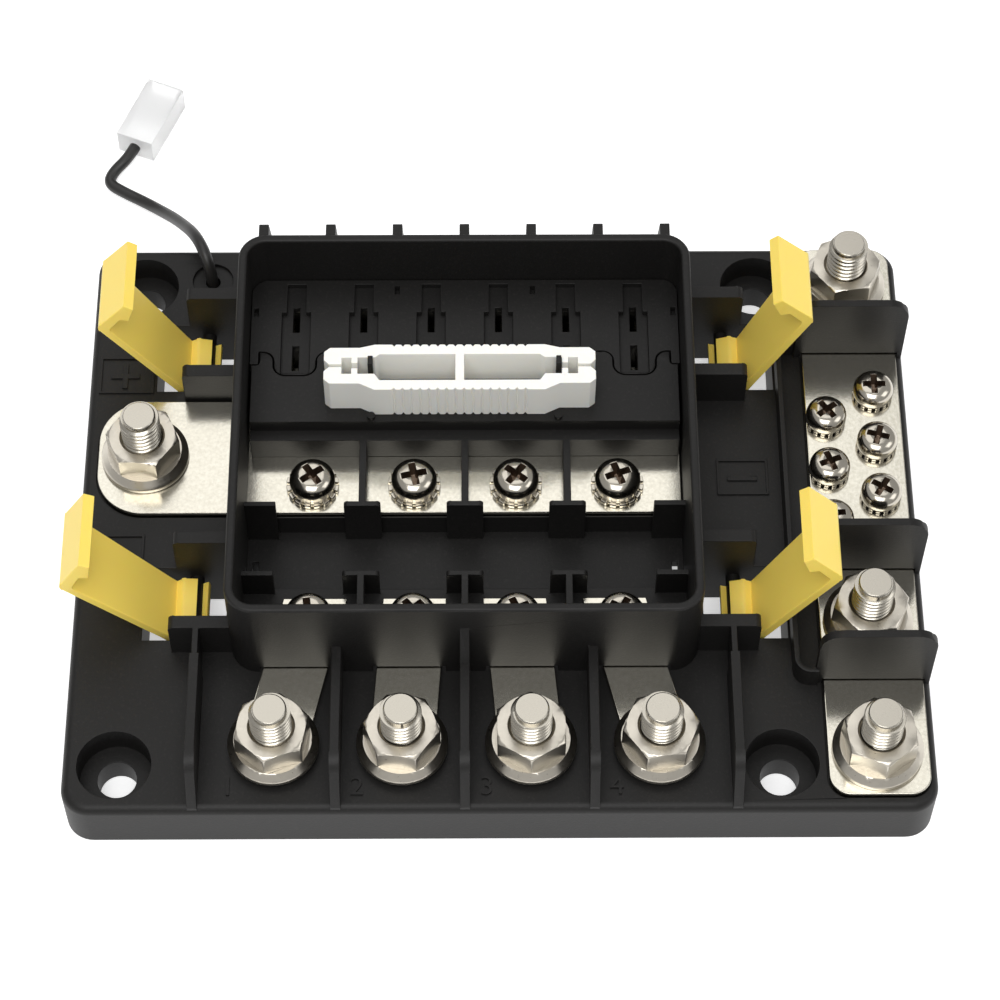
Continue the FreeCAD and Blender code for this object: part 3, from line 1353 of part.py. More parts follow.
def check(parts):
    """Stops the build when any object failed or any sub-part is empty or broken."""
    for item in DOC.Objects:
        if "Invalid" in item.State or "Error" in item.State:
            raise RuntimeError(f"{item.Name} did not compute: {item.State}")
    for item in DOC.Objects:
        if item.TypeId == "PartDesign::Pocket" or item.TypeId == "PartDesign::Groove":
            before = item.BaseFeature.Shape.Volume
            if item.Shape.Volume > before - 0.001:
                raise RuntimeError(f"{item.Name} removed nothing")
    for part in parts:
        if part.Shape.isNull() or not part.Shape.isValid():
            raise RuntimeError(f"{part.Label} has no sound shape")


def export(parts):
    os.makedirs("parts", exist_ok=True)
    for part in parts:
        part.Shape.exportStep(f"parts/{part.Label}.step")


PARTS = [
    *housing(), positive_bus_plate(), negative_bus_plate(), blade_fuse_bank(), bus_cover(),
    fuse_puller(), indicator_lead(), lead_connector(),
]
PARTS.extend(output_tab(step) for step in range(4))
PARTS.extend(fasteners())
PARTS.extend(clips_and_terminals())
PARTS.extend(latches())
DOC.recompute()
check(PARTS)
export(PARTS)
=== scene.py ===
import math

import bmesh
import bpy
from mathutils import Matrix, Vector


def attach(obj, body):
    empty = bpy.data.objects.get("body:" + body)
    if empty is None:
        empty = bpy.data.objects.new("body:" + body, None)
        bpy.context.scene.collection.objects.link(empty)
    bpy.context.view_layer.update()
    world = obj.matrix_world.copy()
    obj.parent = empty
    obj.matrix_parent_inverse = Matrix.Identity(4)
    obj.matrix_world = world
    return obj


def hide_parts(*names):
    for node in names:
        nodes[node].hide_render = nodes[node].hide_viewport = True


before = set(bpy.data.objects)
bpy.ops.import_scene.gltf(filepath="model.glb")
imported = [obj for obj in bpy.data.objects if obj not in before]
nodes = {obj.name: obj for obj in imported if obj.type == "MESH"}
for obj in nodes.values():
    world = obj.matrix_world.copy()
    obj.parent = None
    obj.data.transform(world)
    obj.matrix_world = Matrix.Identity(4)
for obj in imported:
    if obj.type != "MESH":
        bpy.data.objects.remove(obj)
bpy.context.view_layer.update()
bpy.ops.object.select_all(action="DESELECT")

# Camera
# A long lens looking down steeply from the front, as in the photograph. Its place and its
# slight roll were worked out from the base's edges and corners.
MM = 0.001
camera_distance = 616.974
camera = bpy.data.cameras.new("camera")
camera.lens = 111.68
camera.sensor_width = 36
camera.sensor_fit = "HORIZONTAL"
camera.clip_end = 20
eye = bpy.data.objects.new("camera", camera)
bpy.context.scene.collection.objects.link(eye)
bpy.context.scene.camera = eye
pitch = math.radians(58.84)
yaw = math.radians(0.64)
roll = math.radians(0.36)
forward = Vector((
    math.sin(yaw) * math.cos(pitch),
    math.cos(yaw) * math.cos(pitch),
    -math.sin(pitch),
))
level = Vector((math.cos(yaw), -math.sin(yaw), 0))
upright = level.cross(forward)
right = math.cos(roll) * level + math.sin(roll) * upright
up = math.cos(roll) * upright - math.sin(roll) * level
turn = Matrix((right, up, -forward)).transposed().to_4x4()
target = Vector((0.335, -1.086, 20.0)) * MM
eye.matrix_world = Matrix.Translation(target - forward * camera_distance * MM) @ turn

# Floor and studio light
# A pale sweep of paper under and behind the part, a soft box above and behind it that level
# metal mirrors, a brighter one above the camera, a weak one at the right, and an even white
# surround.
floor_drop = 0.2
paper_glow = 0.5
surround_light = 0.5


def colour(code):
    """The linear colour of an sRGB hex value."""
    parts = [int(code[i:i + 2], 16) / 255 for i in (1, 3, 5)]
    linear = [c / 12.92 if c <= 0.04045 else ((c + 0.055) / 1.055) ** 2.4 for c in parts]
    return (*linear, 1.0)


def add_node(tree, kind, settings=None, **inputs):
    """Adds a node, sets its own settings, then its inputs: values or other nodes' outputs.
    An input is named by its label, or as i0, i1 and so on by its number."""
    node = tree.nodes.new(kind)
    for name, value in (settings or {}).items():
        setattr(node, name, value)
    for name, value in inputs.items():
        numbered = name[1:].isdigit()
        socket = node.inputs[int(name[1:]) if numbered else name.replace("_", " ")]
        if isinstance(value, bpy.types.NodeSocket):
            tree.links.new(value, socket)
        else:
            socket.default_value = value
    return node


def new_material(name):
    """A node material with only its output left."""
    made = bpy.data.materials.new(name)
    made.use_nodes = True
    tree = made.node_tree
    tree.nodes.clear()
    return made, tree, tree.nodes.new("ShaderNodeOutputMaterial")


bpy.ops.mesh.primitive_plane_add(size=6, location=(0, 0, -floor_drop * MM))
floor = bpy.context.object
floor.name = "paper_floor"
paper, tree, output = new_material("white_paper")
rays = add_node(tree, "ShaderNodeLightPath")
matte = add_node(tree, "ShaderNodeBsdfDiffuse", Color=colour("#F4F4F4"))
glow = add_node(tree, "ShaderNodeEmission", Color=colour("#FFFFFF"), Strength=paper_glow)
seen = add_node(tree, "ShaderNodeMath", {"operation": "MAXIMUM"},
                i0=rays.outputs["Is Camera Ray"], i1=rays.outputs["Is Glossy Ray"])
nothing = add_node(tree, "ShaderNodeEmission", Strength=0.0)
shown = add_node(tree, "ShaderNodeMixShader", i0=seen.outputs[0],
                 i1=nothing.outputs[0], i2=glow.outputs[0])
total = add_node(tree, "ShaderNodeAddShader", i0=matte.outputs[0], i1=shown.outputs[0])
tree.links.new(total.outputs[0], output.inputs["Surface"])
floor.data.materials.append(paper)

world = bpy.data.worlds.new("white_surround")
bpy.context.scene.world = world
world.use_nodes = True
tree = world.node_tree
tree.nodes.clear()
rays = add_node(tree, "ShaderNodeLightPath")
seen = add_node(tree, "ShaderNodeMath", {"operation": "MAXIMUM"},
                i0=rays.outputs["Is Camera Ray"], i1=rays.outputs["Is Transmission Ray"])
fill = add_node(tree, "ShaderNodeBackground", Color=colour("#FFFFFF"), Strength=surround_light)
backdrop = add_node(tree, "ShaderNodeBackground", Color=colour("#FFFFFF"), Strength=1.0)
both = add_node(tree, "ShaderNodeMixShader", i0=seen.outputs[0],
                i1=fill.outputs[0], i2=backdrop.outputs[0])
add_node(tree, "ShaderNodeOutputWorld", Surface=both.outputs[0])


def soft_box(name, place, size, power):
    """A square area lamp aimed at the part."""
    lamp = bpy.data.lights.new(name, "AREA")
    lamp.shape = "SQUARE"
    lamp.size = size
    lamp.energy = power
    holder = bpy.data.objects.new(name, lamp)
    bpy.context.scene.collection.objects.link(holder)
    aim = (Vector((0, 0, 0.01)) - Vector(place)).to_track_quat("-Z", "Y")
    holder.matrix_world = Matrix.Translation(place) @ aim.to_matrix().to_4x4()


soft_box("rear_box", (-0.15, 0.55, 1.10), 0.9, 2.8)
soft_box("key_box", (-0.1, -0.6, 1.15), 0.8, 9.0)
soft_box("right_fill", (1.0, -0.2, 0.8), 0.6, 2.0)
bpy.context.scene.view_settings.view_transform = "Standard"

# Housing
# One large injection moulding in black glass-filled nylon: base plate, fuse compartment,
# latch ears, ribs, dividers and shields. Its spark-eroded tool leaves a fine matt grain, and
# every edge of a moulding is slightly round. The matt grain spreads the light evenly, and glass
# fibres at the skin show as faint paler specks.
housing_edge = 0.2
grains_per_mm = 2.6
fibres_per_mm = 1.5
merge_distance = 0.002
flat_angle = 0.3
refill_angle = 0.5
edge_angle = 32
smooth_angle = 36
black_nylon, tree, output = new_material("moulded_black_glass_filled_nylon")
place = add_node(tree, "ShaderNodeTexCoord")
grain = add_node(tree, "ShaderNodeTexNoise", Vector=place.outputs["Object"],
                 Scale=grains_per_mm / MM, Detail=2.0)
fibres = add_node(tree, "ShaderNodeTexNoise", Vector=place.outputs["Object"],
                  Scale=fibres_per_mm / MM, Detail=2.0)
ramp = add_node(tree, "ShaderNodeValToRGB", Fac=fibres.outputs["Fac"])
ramp.color_ramp.elements[0].position = 0.56
ramp.color_ramp.elements[0].color = colour("#161514")
ramp.color_ramp.elements[1].position = 0.72
ramp.color_ramp.elements[1].color = colour("#1E1C1B")
bump = add_node(tree, "ShaderNodeBump", Height=grain.outputs["Fac"], Strength=0.25,
                Distance=0.12 * MM)
skin = add_node(tree, "ShaderNodeBsdfPrincipled", Base_Color=ramp.outputs["Color"],
                Roughness=0.5, Specular_IOR_Level=0.3, Normal=bump.outputs["Normal"])
tree.links.new(skin.outputs[0], output.inputs["Surface"])


def select_only(piece):
    bpy.ops.object.select_all(action="DESELECT")
    bpy.context.view_layer.objects.active = piece
    piece.select_set(True)


def shown_as(piece, name, body, material):
    """Finishes a piece: its look, its body, and the CAD node that it stands for."""
    if material:
        piece.data.materials.clear()
        piece.data.materials.append(material)
    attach(piece, body)
    if name:
        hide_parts(name)


def face_weighted(piece, angle=smooth_angle):
    """Smooth shading up to this angle, with flat faces kept flat beside their rounded edges."""
    select_only(piece)
    bpy.ops.object.shade_smooth_by_angle(angle=math.radians(angle))
    weight = piece.modifiers.new("face_weight", "WEIGHTED_NORMAL")
    weight.keep_sharp = True
    weight.use_face_influence = True
    bpy.ops.object.modifier_apply(modifier=weight.name)


def rounded_edges(piece, width, angle=edge_angle):
    """Rounds every edge that turns by more than this angle."""
    select_only(piece)
    bevel = piece.modifiers.new("edge_rounding", "BEVEL")
    bevel.width = width * MM
    bevel.segments = 2
    bevel.limit_method = "ANGLE"
    bevel.face_strength_mode = "FSTR_ALL"
    bevel.angle_limit = math.radians(angle)
    bevel.use_clamp_overlap = False
    bevel.miter_outer = "MITER_ARC"
    bpy.ops.object.modifier_apply(modifier=bevel.name)


def worn_edges(piece, width, plain):
    """Rounds the outer edges that have room for it. Flat faces are merged first, and on a
    piece that isn't plain, with many openings or steps, they are cut up afresh, which keeps
    the rounding clean there."""
    select_only(piece)
    bpy.ops.object.mode_set(mode="EDIT")
    bpy.ops.mesh.select_all(action="SELECT")
    bpy.ops.mesh.dissolve_limited(angle_limit=math.radians(flat_angle))
    if not plain:
        bpy.ops.mesh.quads_convert_to_tris(quad_method="BEAUTY", ngon_method="BEAUTY")
        bpy.ops.mesh.beautify_fill(angle_limit=math.radians(refill_angle))
    bpy.ops.object.mode_set(mode="OBJECT")
    mesh = bmesh.new()
    mesh.from_mesh(piece.data)
    weight = mesh.edges.layers.float.new("bevel_weight_edge")
    for edge in mesh.edges:
        length = edge.calc_length()
        turns_outwards = edge.calc_face_angle_signed(0) >= math.radians(edge_angle)
        if length < 1.5 * width * MM or not turns_outwards:
            continue
        narrowest = min(2 * face.calc_area() / length for face in edge.link_faces)
        if narrowest > 2.5 * width * MM:
            edge[weight] = 1.0
    mesh.to_mesh(piece.data)
    mesh.free()
    bevel = piece.modifiers.new("edge_rounding", "BEVEL")
    bevel.width = width * MM
    bevel.segments = 2
    bevel.limit_method = "WEIGHT"
    bevel.face_strength_mode = "FSTR_ALL"
    bevel.use_clamp_overlap = False
    bevel.miter_outer = "MITER_ARC"
    bpy.ops.object.modifier_apply(modifier=bevel.name)


def merged_copy(name):
    """A copy of a CAD node with its doubled points merged."""
    piece = bpy.data.objects.new(f"{name}_softened", nodes[name].data.copy())
    bpy.context.scene.collection.objects.link(piece)
    select_only(piece)
    bpy.ops.mesh.customdata_custom_splitnormals_clear()
    bpy.ops.object.mode_set(mode="EDIT")
    bpy.ops.mesh.select_all(action="SELECT")
    bpy.ops.mesh.remove_doubles(threshold=merge_distance * MM)
    bpy.ops.object.mode_set(mode="OBJECT")
    return piece


def softened(name, body, width, material, plain=True):
    """A copy of a CAD node with its edges rounded, shown in the node's place."""
    piece = merged_copy(name)
    worn_edges(piece, width, plain)
    face_weighted(piece)
    shown_as(piece, name, body, material)
    return piece


def cut(piece, tool, operation):
    """A boolean whose tool isn't kept."""
    select_only(piece)
    step = piece.modifiers.new("cut", "BOOLEAN")
    step.operation = operation
    step.solver = "EXACT"
    step.object = tool
    bpy.ops.object.modifier_apply(modifier=step.name)
    bpy.data.objects.remove(tool, do_unlink=True)


moulding = merged_copy("housing")
cut(moulding, merged_copy("housing_walls"), "UNION")
worn_edges(moulding, housing_edge, plain=False)
face_weighted(moulding)
shown_as(moulding, "housing", "block", black_nylon)
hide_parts("housing_walls")

# Marks on the deck
# A plus in a frame by the positive stud and on the left edge, a minus in a frame by the
# negative bus, and the numbers of the four output bays. They stand up from the moulding.
deck_height = 12.8
mark_height = 0.4
mark_edge = 0.08
frame_line = 0.5
plus_reach = 2.95
plus_half = 0.55
digit_size = 5.6
digit_front = -62.4
digit_places = (-51.95, -27.3, -2.5, 22.4)


def raise_marks(piece, height):
    """Extrudes a flat outline on the deck into a raised mark."""
    select_only(piece)
    bpy.ops.object.mode_set(mode="EDIT")
    bpy.ops.mesh.select_all(action="SELECT")
    bpy.ops.mesh.extrude_region_move(TRANSFORM_OT_translate={"value": (0, 0, height * MM)})
    bpy.ops.mesh.select_all(action="SELECT")
    bpy.ops.mesh.normals_make_consistent(inside=False)
    bpy.ops.object.mode_set(mode="OBJECT")
    rounded_edges(piece, mark_edge)
    face_weighted(piece)
    shown_as(piece, None, "block", black_nylon)


def grid_mark(name, across, along, kept):
    """A flat outline from a grid of lines across X and along Y; kept says which cells stay."""
    bpy.ops.mesh.primitive_grid_add(x_subdivisions=3, y_subdivisions=3, size=1)
    piece = bpy.context.object
    piece.name = name
    columns = sorted({round(v.co.x, 4) for v in piece.data.vertices})
    rows = sorted({round(v.co.y, 4) for v in piece.data.vertices})
    for v in piece.data.vertices:
        x = across[columns.index(round(v.co.x, 4))]
        y = along[rows.index(round(v.co.y, 4))]
        v.co = Vector((x, y, deck_height)) * MM
    select_only(piece)
    bpy.ops.object.mode_set(mode="EDIT")
    bpy.ops.mesh.select_mode(type="FACE")
    bpy.ops.mesh.select_all(action="DESELECT")
    bpy.ops.object.mode_set(mode="OBJECT")
    for face in piece.data.polygons:
        middle = face.center / MM
        column = sum(middle.x > x for x in across) - 1
        line = sum(middle.y > y for y in along) - 1
        face.select = (column, line) not in kept
    bpy.ops.object.mode_set(mode="EDIT")
    bpy.ops.mesh.delete(type="FACE")
    bpy.ops.object.mode_set(mode="OBJECT")
    raise_marks(piece, mark_height)


def frame_mark(name, left, right, front, rear):
    ring = [(column, row) for column in range(3) for row in range(3) if (column, row) != (1, 1)]
    grid_mark(name, [left, left + frame_line, right - frame_line, right],
              [front, front + frame_line, rear - frame_line, rear], ring)


def plus_mark(name, x, y):
    cross = [(0, 1), (1, 0), (1, 1), (1, 2), (2, 1)]
    grid_mark(name, [x - plus_reach, x - plus_half, x + plus_half, x + plus_reach],
              [y - plus_reach, y - plus_half, y + plus_half, y + plus_reach], cross)


frame_mark("positive_frame_rear", -82.0, -70.7, 29.05, 37.95)
plus_mark("positive_mark_rear", -76.7, 33.2)
frame_mark("positive_frame_front", -82.0, -70.7, -13.6, -4.7)
plus_mark("positive_mark_front", -76.7, -9.4)
frame_mark("negative_frame", 44.3, 54.7, 4.2, 12.6)
every_cell = [(column, row) for column in range(3) for row in range(3)]
grid_mark("negative_mark", [46.4, 48.4, 50.4, 52.45], [7.5, 7.9, 8.2, 8.6], every_cell)
for number, x in enumerate(digit_places, start=1):
    bpy.ops.object.text_add(location=(x * MM, digit_front * MM, deck_height * MM))
    digit = bpy.context.object
    digit.data.body = str(number)
    digit.data.size = digit_size * MM
    digit.data.align_x = "CENTER"
    digit.data.extrude = mark_height * MM
    bpy.ops.object.convert(target="MESH")
    bpy.ops.object.transform_apply(location=True, rotation=True, scale=True)
    digit = bpy.context.object
    digit.name = f"bay_number_{number}"
    shown_as(digit, None, "block", black_nylon)

# Blade fuse bank and bus cover
# Two smaller mouldings of the same nylon that lie in the compartment, joined by a seam that
# runs in and out between the fuse seats.
for name in ("blade_fuse_bank", "bus_cover"):
    softened(name, "block", 0.15, black_nylon, plain=False)

# Bus plates and output tabs
# Sheet brass, blanked and tin plated. The plating is creamy and bright, with fine crystal
# specks, and the sheared edges are slightly rolled over.
crystals_per_mm = 1.3
clouds_per_mm = 0.12
plating, tree, output = new_material("bright_tin_plating")
place = add_node(tree, "ShaderNodeTexCoord")
crystals = add_node(tree, "ShaderNodeTexNoise", Vector=place.outputs["Object"],
                    Scale=crystals_per_mm / MM, Detail=3.0, Roughness=0.6)
clouds = add_node(tree, "ShaderNodeTexNoise", Vector=place.outputs["Object"],
                  Scale=clouds_per_mm / MM, Detail=2.0)
tint = add_node(tree, "ShaderNodeValToRGB", Fac=crystals.outputs["Fac"])
tint.color_ramp.elements[0].position = 0.3
tint.color_ramp.elements[0].color = colour("#C6C1B3")
tint.color_ramp.elements[1].position = 0.7
tint.color_ramp.elements[1].color = colour("#D4D0C3")
rough = add_node(tree, "ShaderNodeMapRange", Value=clouds.outputs["Fac"], To_Min=0.1,
                 To_Max=0.24)
bump = add_node(tree, "ShaderNodeBump", Height=crystals.outputs["Fac"], Strength=0.1,
                Distance=0.1 * MM)
skin = add_node(tree, "ShaderNodeBsdfPrincipled", Base_Color=tint.outputs["Color"],
                Metallic=1.0, Roughness=rough.outputs["Result"], Normal=bump.outputs["Normal"])
tree.links.new(skin.outputs[0], output.inputs["Surface"])
for name in ("positive_bus_plate", "negative_bus_plate"):
    softened(name, "block", 0.25, plating)
for number in range(1, 5):
    softened(f"output_tab_{number}", "block", 0.2, plating)

# Blade clips and branch terminals
# Stamped and folded from thin tin-plated brass: six clips on the bus under the bank, and six
# that end in a strip with a screw behind the compartment.
for number in range(1, 7):
    softened(f"bus_clip_{number}", "block", 0.06, plating)
    softened(f"output_terminal_{number}", "block", 0.1, plating)

# Flange nuts
# Eight stainless nuts with a washer flange, hot forged and then turned on top. Their corners
# are blunt and their faces satin, with a fine unevenness that blurs what they mirror.
tool_marks_per_mm = 1.8
stainless, tree, output = new_material("satin_stainless_steel")
place = add_node(tree, "ShaderNodeTexCoord")
marks = add_node(tree, "ShaderNodeTexNoise", Vector=place.outputs["Object"],
                 Scale=tool_marks_per_mm / MM, Detail=3.0)
rough = add_node(tree, "ShaderNodeMapRange", Value=marks.outputs["Fac"], To_Min=0.22,
                 To_Max=0.4)
bump = add_node(tree, "ShaderNodeBump", Height=marks.outputs["Fac"], Strength=0.08,
                Distance=0.1 * MM)
skin = add_node(tree, "ShaderNodeBsdfPrincipled", Base_Color=colour("#C4BEB2"), Metallic=1.0,
                Roughness=rough.outputs["Result"], Normal=bump.outputs["Normal"])
tree.links.new(skin.outputs[0], output.inputs["Surface"])
for name in ("positive_nut", "output_nuts", "negative_nuts"):
    softened(name, "block", 0.15, stainless, plain=False)

# Threaded studs
# Eight stainless bolts pushed up through the base: a hexagon head held in a socket under the
# deck, and a rolled thread of 8 mm with a chamfered tip. Rolling leaves the flanks bright.
thread_pitch = 1.25
crest_radius = 4.0
root_radius = 3.32
tip_radius = 3.05
tip_chamfer = 1.1
shank_radius = 3.6
stud_top = 29.5
head_low = 4.9
head_high = 10.2
head_across_flats = 13.0
thread_start = 20.8
thread_turns = 7
ridge_foot = (3.2, 0.5)
ridge_shoulder = (3.86, 0.26)
ridge_crest = (crest_radius, 0.13)
rolling_marks_per_mm = 2.2


def place_cylinder(name, radius, low, high, sides=64, turned=0.0):
    bpy.ops.mesh.primitive_cylinder_add(
        vertices=sides, radius=radius * MM, depth=(high - low) * MM,
        location=(0, 0, (low + high) / 2 * MM), rotation=(0, 0, math.radians(turned)),
    )
    piece = bpy.context.object
    piece.name = name
    bpy.ops.object.transform_apply(location=True, rotation=True, scale=True)
    return piece


def draw_in_top(piece, rise, factor):
    """Adds a ring on the top and scales the new top face in, as a chamfer."""
    select_only(piece)
    top = max(v.co.z for v in piece.data.vertices)
    for face in piece.data.polygons:
        face.select = face.normal.z > 0.9 and abs(face.center.z - top) < 1e-6
    bpy.ops.object.mode_set(mode="EDIT")
    bpy.ops.mesh.select_mode(type="FACE")
    bpy.ops.mesh.extrude_region_move(TRANSFORM_OT_translate={"value": (0, 0, rise * MM)})
    bpy.ops.transform.resize(value=(factor, factor, 1), center_override=(0, 0, 0))
    bpy.ops.object.mode_set(mode="OBJECT")


def joined_pieces(pieces, name):
    bpy.ops.object.select_all(action="DESELECT")
    for piece in pieces:
        piece.select_set(True)
    bpy.context.view_layer.objects.active = pieces[0]
    bpy.ops.object.join()
    made = bpy.context.object
    made.name = name
    return made


def thread_ridge():
    """A profile with a rounded crest swept up the stud; its turns leave a root between them."""
    bpy.ops.mesh.primitive_circle_add(vertices=6, radius=MM, fill_type="NOTHING")
    ridge = bpy.context.object
    upper = (ridge_foot, ridge_shoulder, ridge_crest)
    outline = [(ridge_foot[0], -ridge_foot[1])]
    outline += list(upper)
    outline += [(reach, -rise) for reach, rise in (ridge_crest, ridge_shoulder)]
    for vertex, (reach, rise) in zip(ridge.data.vertices, outline):
        vertex.co = (reach * MM, 0, (thread_start + rise) * MM)
    sweep = ridge.modifiers.new("thread", "SCREW")
    sweep.axis = "Z"
    sweep.angle = 2 * math.pi
    sweep.screw_offset = thread_pitch * MM
    sweep.iterations = thread_turns
    sweep.steps = 40
    sweep.render_steps = 40
    bpy.ops.object.modifier_apply(modifier=sweep.name)
    bpy.ops.object.mode_set(mode="EDIT")
    bpy.ops.mesh.select_mode(type="EDGE")
    bpy.ops.mesh.select_all(action="DESELECT")
    bpy.ops.mesh.select_non_manifold()
    bpy.ops.mesh.edge_face_add()
    bpy.ops.mesh.select_all(action="SELECT")
    bpy.ops.mesh.normals_make_consistent(inside=False)
    bpy.ops.object.mode_set(mode="OBJECT")
    return ridge


def threaded_stud():
    ridge = thread_ridge()
    blank = place_cylinder("blank", crest_radius + 0.05, thread_start - 2,
                           stud_top - tip_chamfer)
    draw_in_top(blank, tip_chamfer, tip_radius / crest_radius)
    cut(ridge, blank, "INTERSECT")
    core_chamfer = root_radius - tip_radius
    core = place_cylinder("core", root_radius, head_high, stud_top - core_chamfer)
    draw_in_top(core, core_chamfer, tip_radius / root_radius)
    rounded_edges(core, 0.08)
    shank = place_cylinder("shank", shank_radius, head_high, thread_start)
    head = place_cylinder("head", head_across_flats / math.sqrt(3), head_low, head_high,
                          sides=6, turned=30.0)
    rounded_edges(head, 0.4)
    return joined_pieces([core, ridge, shank, head], "stud")


def copies_at(master, spots, name):
    """Copies of the master, each with its own mesh, moved to the spots and joined."""
    made = []
    for x, y, z, yaw in spots:
        copy = master.copy()
        copy.data = master.data.copy()
        bpy.context.scene.collection.objects.link(copy)
        copy.data.transform(Matrix.Translation(Vector((x, y, z)) * MM)
                            @ Matrix.Rotation(math.radians(yaw), 4, "Z"))
        made.append(copy)
    return joined_pieces(made, name)


stud_steel, tree, output = new_material("rolled_stainless_thread")
place = add_node(tree, "ShaderNodeTexCoord")
marks = add_node(tree, "ShaderNodeTexNoise", Vector=place.outputs["Object"],
                 Scale=rolling_marks_per_mm / MM, Detail=3.0)
rough = add_node(tree, "ShaderNodeMapRange", Value=marks.outputs["Fac"], To_Min=0.22,
                 To_Max=0.3)
skin = add_node(tree, "ShaderNodeBsdfPrincipled", Base_Color=colour("#B4AFA4"), Metallic=1.0,
                Roughness=rough.outputs["Result"])
tree.links.new(skin.outputs[0], output.inputs["Surface"])
stud = threaded_stud()
# Each is turned by whole sixths of a turn, so that its head still fits its socket.
output_x = (-43.4, -18.7, 6.0, 30.7)
output_y = -52.4
output_turns = (0, 180, 300, 120)
negative_x = 72.5
negative_y = (54.7, -25.5, -53.7)
negative_turns = (0, 180, 240)
stud_groups = {
    "positive_stud": [(-71.4, 13.1, 0, 60)],
    "output_studs": [(x, output_y, 0, turn) for x, turn in zip(output_x, output_turns)],
    "negative_studs": [(negative_x, y, 0, turn) for y, turn in zip(negative_y, negative_turns)],
}
for name, spots in stud_groups.items():
    group = copies_at(stud, spots, f"{name}_threaded")
    face_weighted(group, 40)
    shown_as(group, name, "block", stud_steel)
bpy.data.objects.remove(stud, do_unlink=True)

# Clamp screws
# Steel pan head screws, cold headed with a tapered cross recess and bright nickel plated.
# Small ones clamp the branch circuits, larger ones hold the fuse strips. The plating mirrors
# the studio sharply on the domes.
plating_marks_per_mm = 1.6
nickel, tree, output = new_material("bright_nickel_plated_steel")
place = add_node(tree, "ShaderNodeTexCoord")
marks = add_node(tree, "ShaderNodeTexNoise", Vector=place.outputs["Object"],
                 Scale=plating_marks_per_mm / MM, Detail=3.0)
rough = add_node(tree, "ShaderNodeMapRange", Value=marks.outputs["Fac"], To_Min=0.12,
                 To_Max=0.24)
skin = add_node(tree, "ShaderNodeBsdfPrincipled", Base_Color=colour("#B9B3A7"), Metallic=1.0,
                Roughness=rough.outputs["Result"])
tree.links.new(skin.outputs[0], output.inputs["Surface"])

# The recess is given a darker brownish steel: painted shade, as little light reaches inside it.
recess_shade_paint, tree, output = new_material("painted_shade_recess_steel")
skin = add_node(tree, "ShaderNodeBsdfPrincipled", Base_Color=colour("#7A6A5C"), Metallic=1.0,
                Roughness=0.42)
tree.links.new(skin.outputs[0], output.inputs["Surface"])


def crowned_head(radius, edge, height, flat, rings=8):
    """A disc with a vertical edge, raised to a dome by insets along an ellipse."""
    head = place_cylinder("head", radius, 0, edge, 96)
    for face in head.data.polygons:
        face.select = face.normal.z > 0.9
    select_only(head)
    bpy.ops.object.mode_set(mode="EDIT")
    bpy.ops.mesh.select_mode(type="FACE")
    reach, level_now = radius, edge
    for step in range(1, rings + 1):
        angle = math.pi / 2 * step / rings
        next_reach = flat + (radius - flat) * math.cos(angle)
        next_level = edge + (height - edge) * math.sin(angle)
        bpy.ops.mesh.inset(thickness=(reach - next_reach) * MM, depth=0)
        bpy.ops.transform.translate(value=(0, 0, (next_level - level_now) * MM))
        reach, level_now = next_reach, next_level
    bpy.ops.object.mode_set(mode="OBJECT")
    return head


def recess_tool(reach, arm, depth, top, turned):
    """One bar of the cross recess, narrower and shorter at its bottom."""
    bpy.ops.mesh.primitive_cube_add(size=1)
    tool = bpy.context.object
    for vertex in tool.data.vertices:
        low = vertex.co.z < 0
        x = math.copysign(reach * (0.5 if low else 1.06), vertex.co.x)
        y = math.copysign(arm / 2 * (0.6 if low else 1.06), vertex.co.y)
        vertex.co = Vector((x, y, top - depth if low else top + 0.3)) * MM
    tool.data.transform(Matrix.Rotation(math.radians(turned), 4, "Z"))
    # The tool's faces carry the second material, the recess's painted shade, into the cut.
    for face in tool.data.polygons:
        face.material_index = 1
    return tool


def clamp_screw(radius, edge, height, flat, shank, length, reach, arm, depth):
    """A crowned head with a cross recess of this reach, arm width and depth, on a shank."""
    head = crowned_head(radius, edge, height, flat)
    shaft = place_cylinder("shaft", shank, -length, 0, 32)
    tools = [recess_tool(reach, arm, depth, height, turned) for turned in (0, 90)]
    # The second slot holds the darker steel that paints shade into the recess.
    for piece in (head, shaft, *tools):
        piece.data.materials.append(nickel)
        piece.data.materials.append(recess_shade_paint)
    for tool in tools:
        cut(head, tool, "DIFFERENCE")
    return joined_pieces([head, shaft], "screw")


bay_x = (-37.325, -16.875, 3.575, 24.025)
branch_x = (-41.15, -27.35, -13.55, 0.25, 14.05, 27.85)
bus_turns = (35, 12, 52, 20)
tab_turns = (8, 40, 25, 61)
bus_row = (5.8, 15.2)
tab_row = (-25.35, 15.6)
branch_row = (58.6, 13.8)
negative_rear = 27.7
negative_step = 6.15
negative_stagger = 10.0
negative_height = 14.8
small_sizes = {"radius": 4.1, "edge": 1.1, "height": 3.2, "flat": 1.7, "shank": 2.0,
               "reach": 2.35, "arm": 1.25, "depth": 2.3}
large = clamp_screw(radius=4.6, edge=1.4, height=3.8, flat=1.9, shank=2.5, length=6.8,
                    reach=2.65, arm=1.4, depth=2.7)
small = clamp_screw(length=6.2, **small_sizes)
strip = clamp_screw(length=5.0, **small_sizes)
screw_groups = {
    "bus_row_screws": (large, [(x, *bus_row, turn) for x, turn in zip(bay_x, bus_turns)]),
    "tab_row_screws": (large, [(x, *tab_row, turn) for x, turn in zip(bay_x, tab_turns)]),
    "negative_screws": (small, [
        (77.0 - negative_stagger * (step % 2), negative_rear - negative_step * step,
         negative_height, 37 * step)
        for step in range(6)
    ]),
    "output_terminal_screws": (strip, [(x, *branch_row, 23 * step)
                                       for step, x in enumerate(branch_x)]),
}
for name, (master, spots) in screw_groups.items():
    group = copies_at(master, spots, f"{name}_recessed")
    rounded_edges(group, 0.05, 50)
    face_weighted(group, 40)
    shown_as(group, name, "block", None)
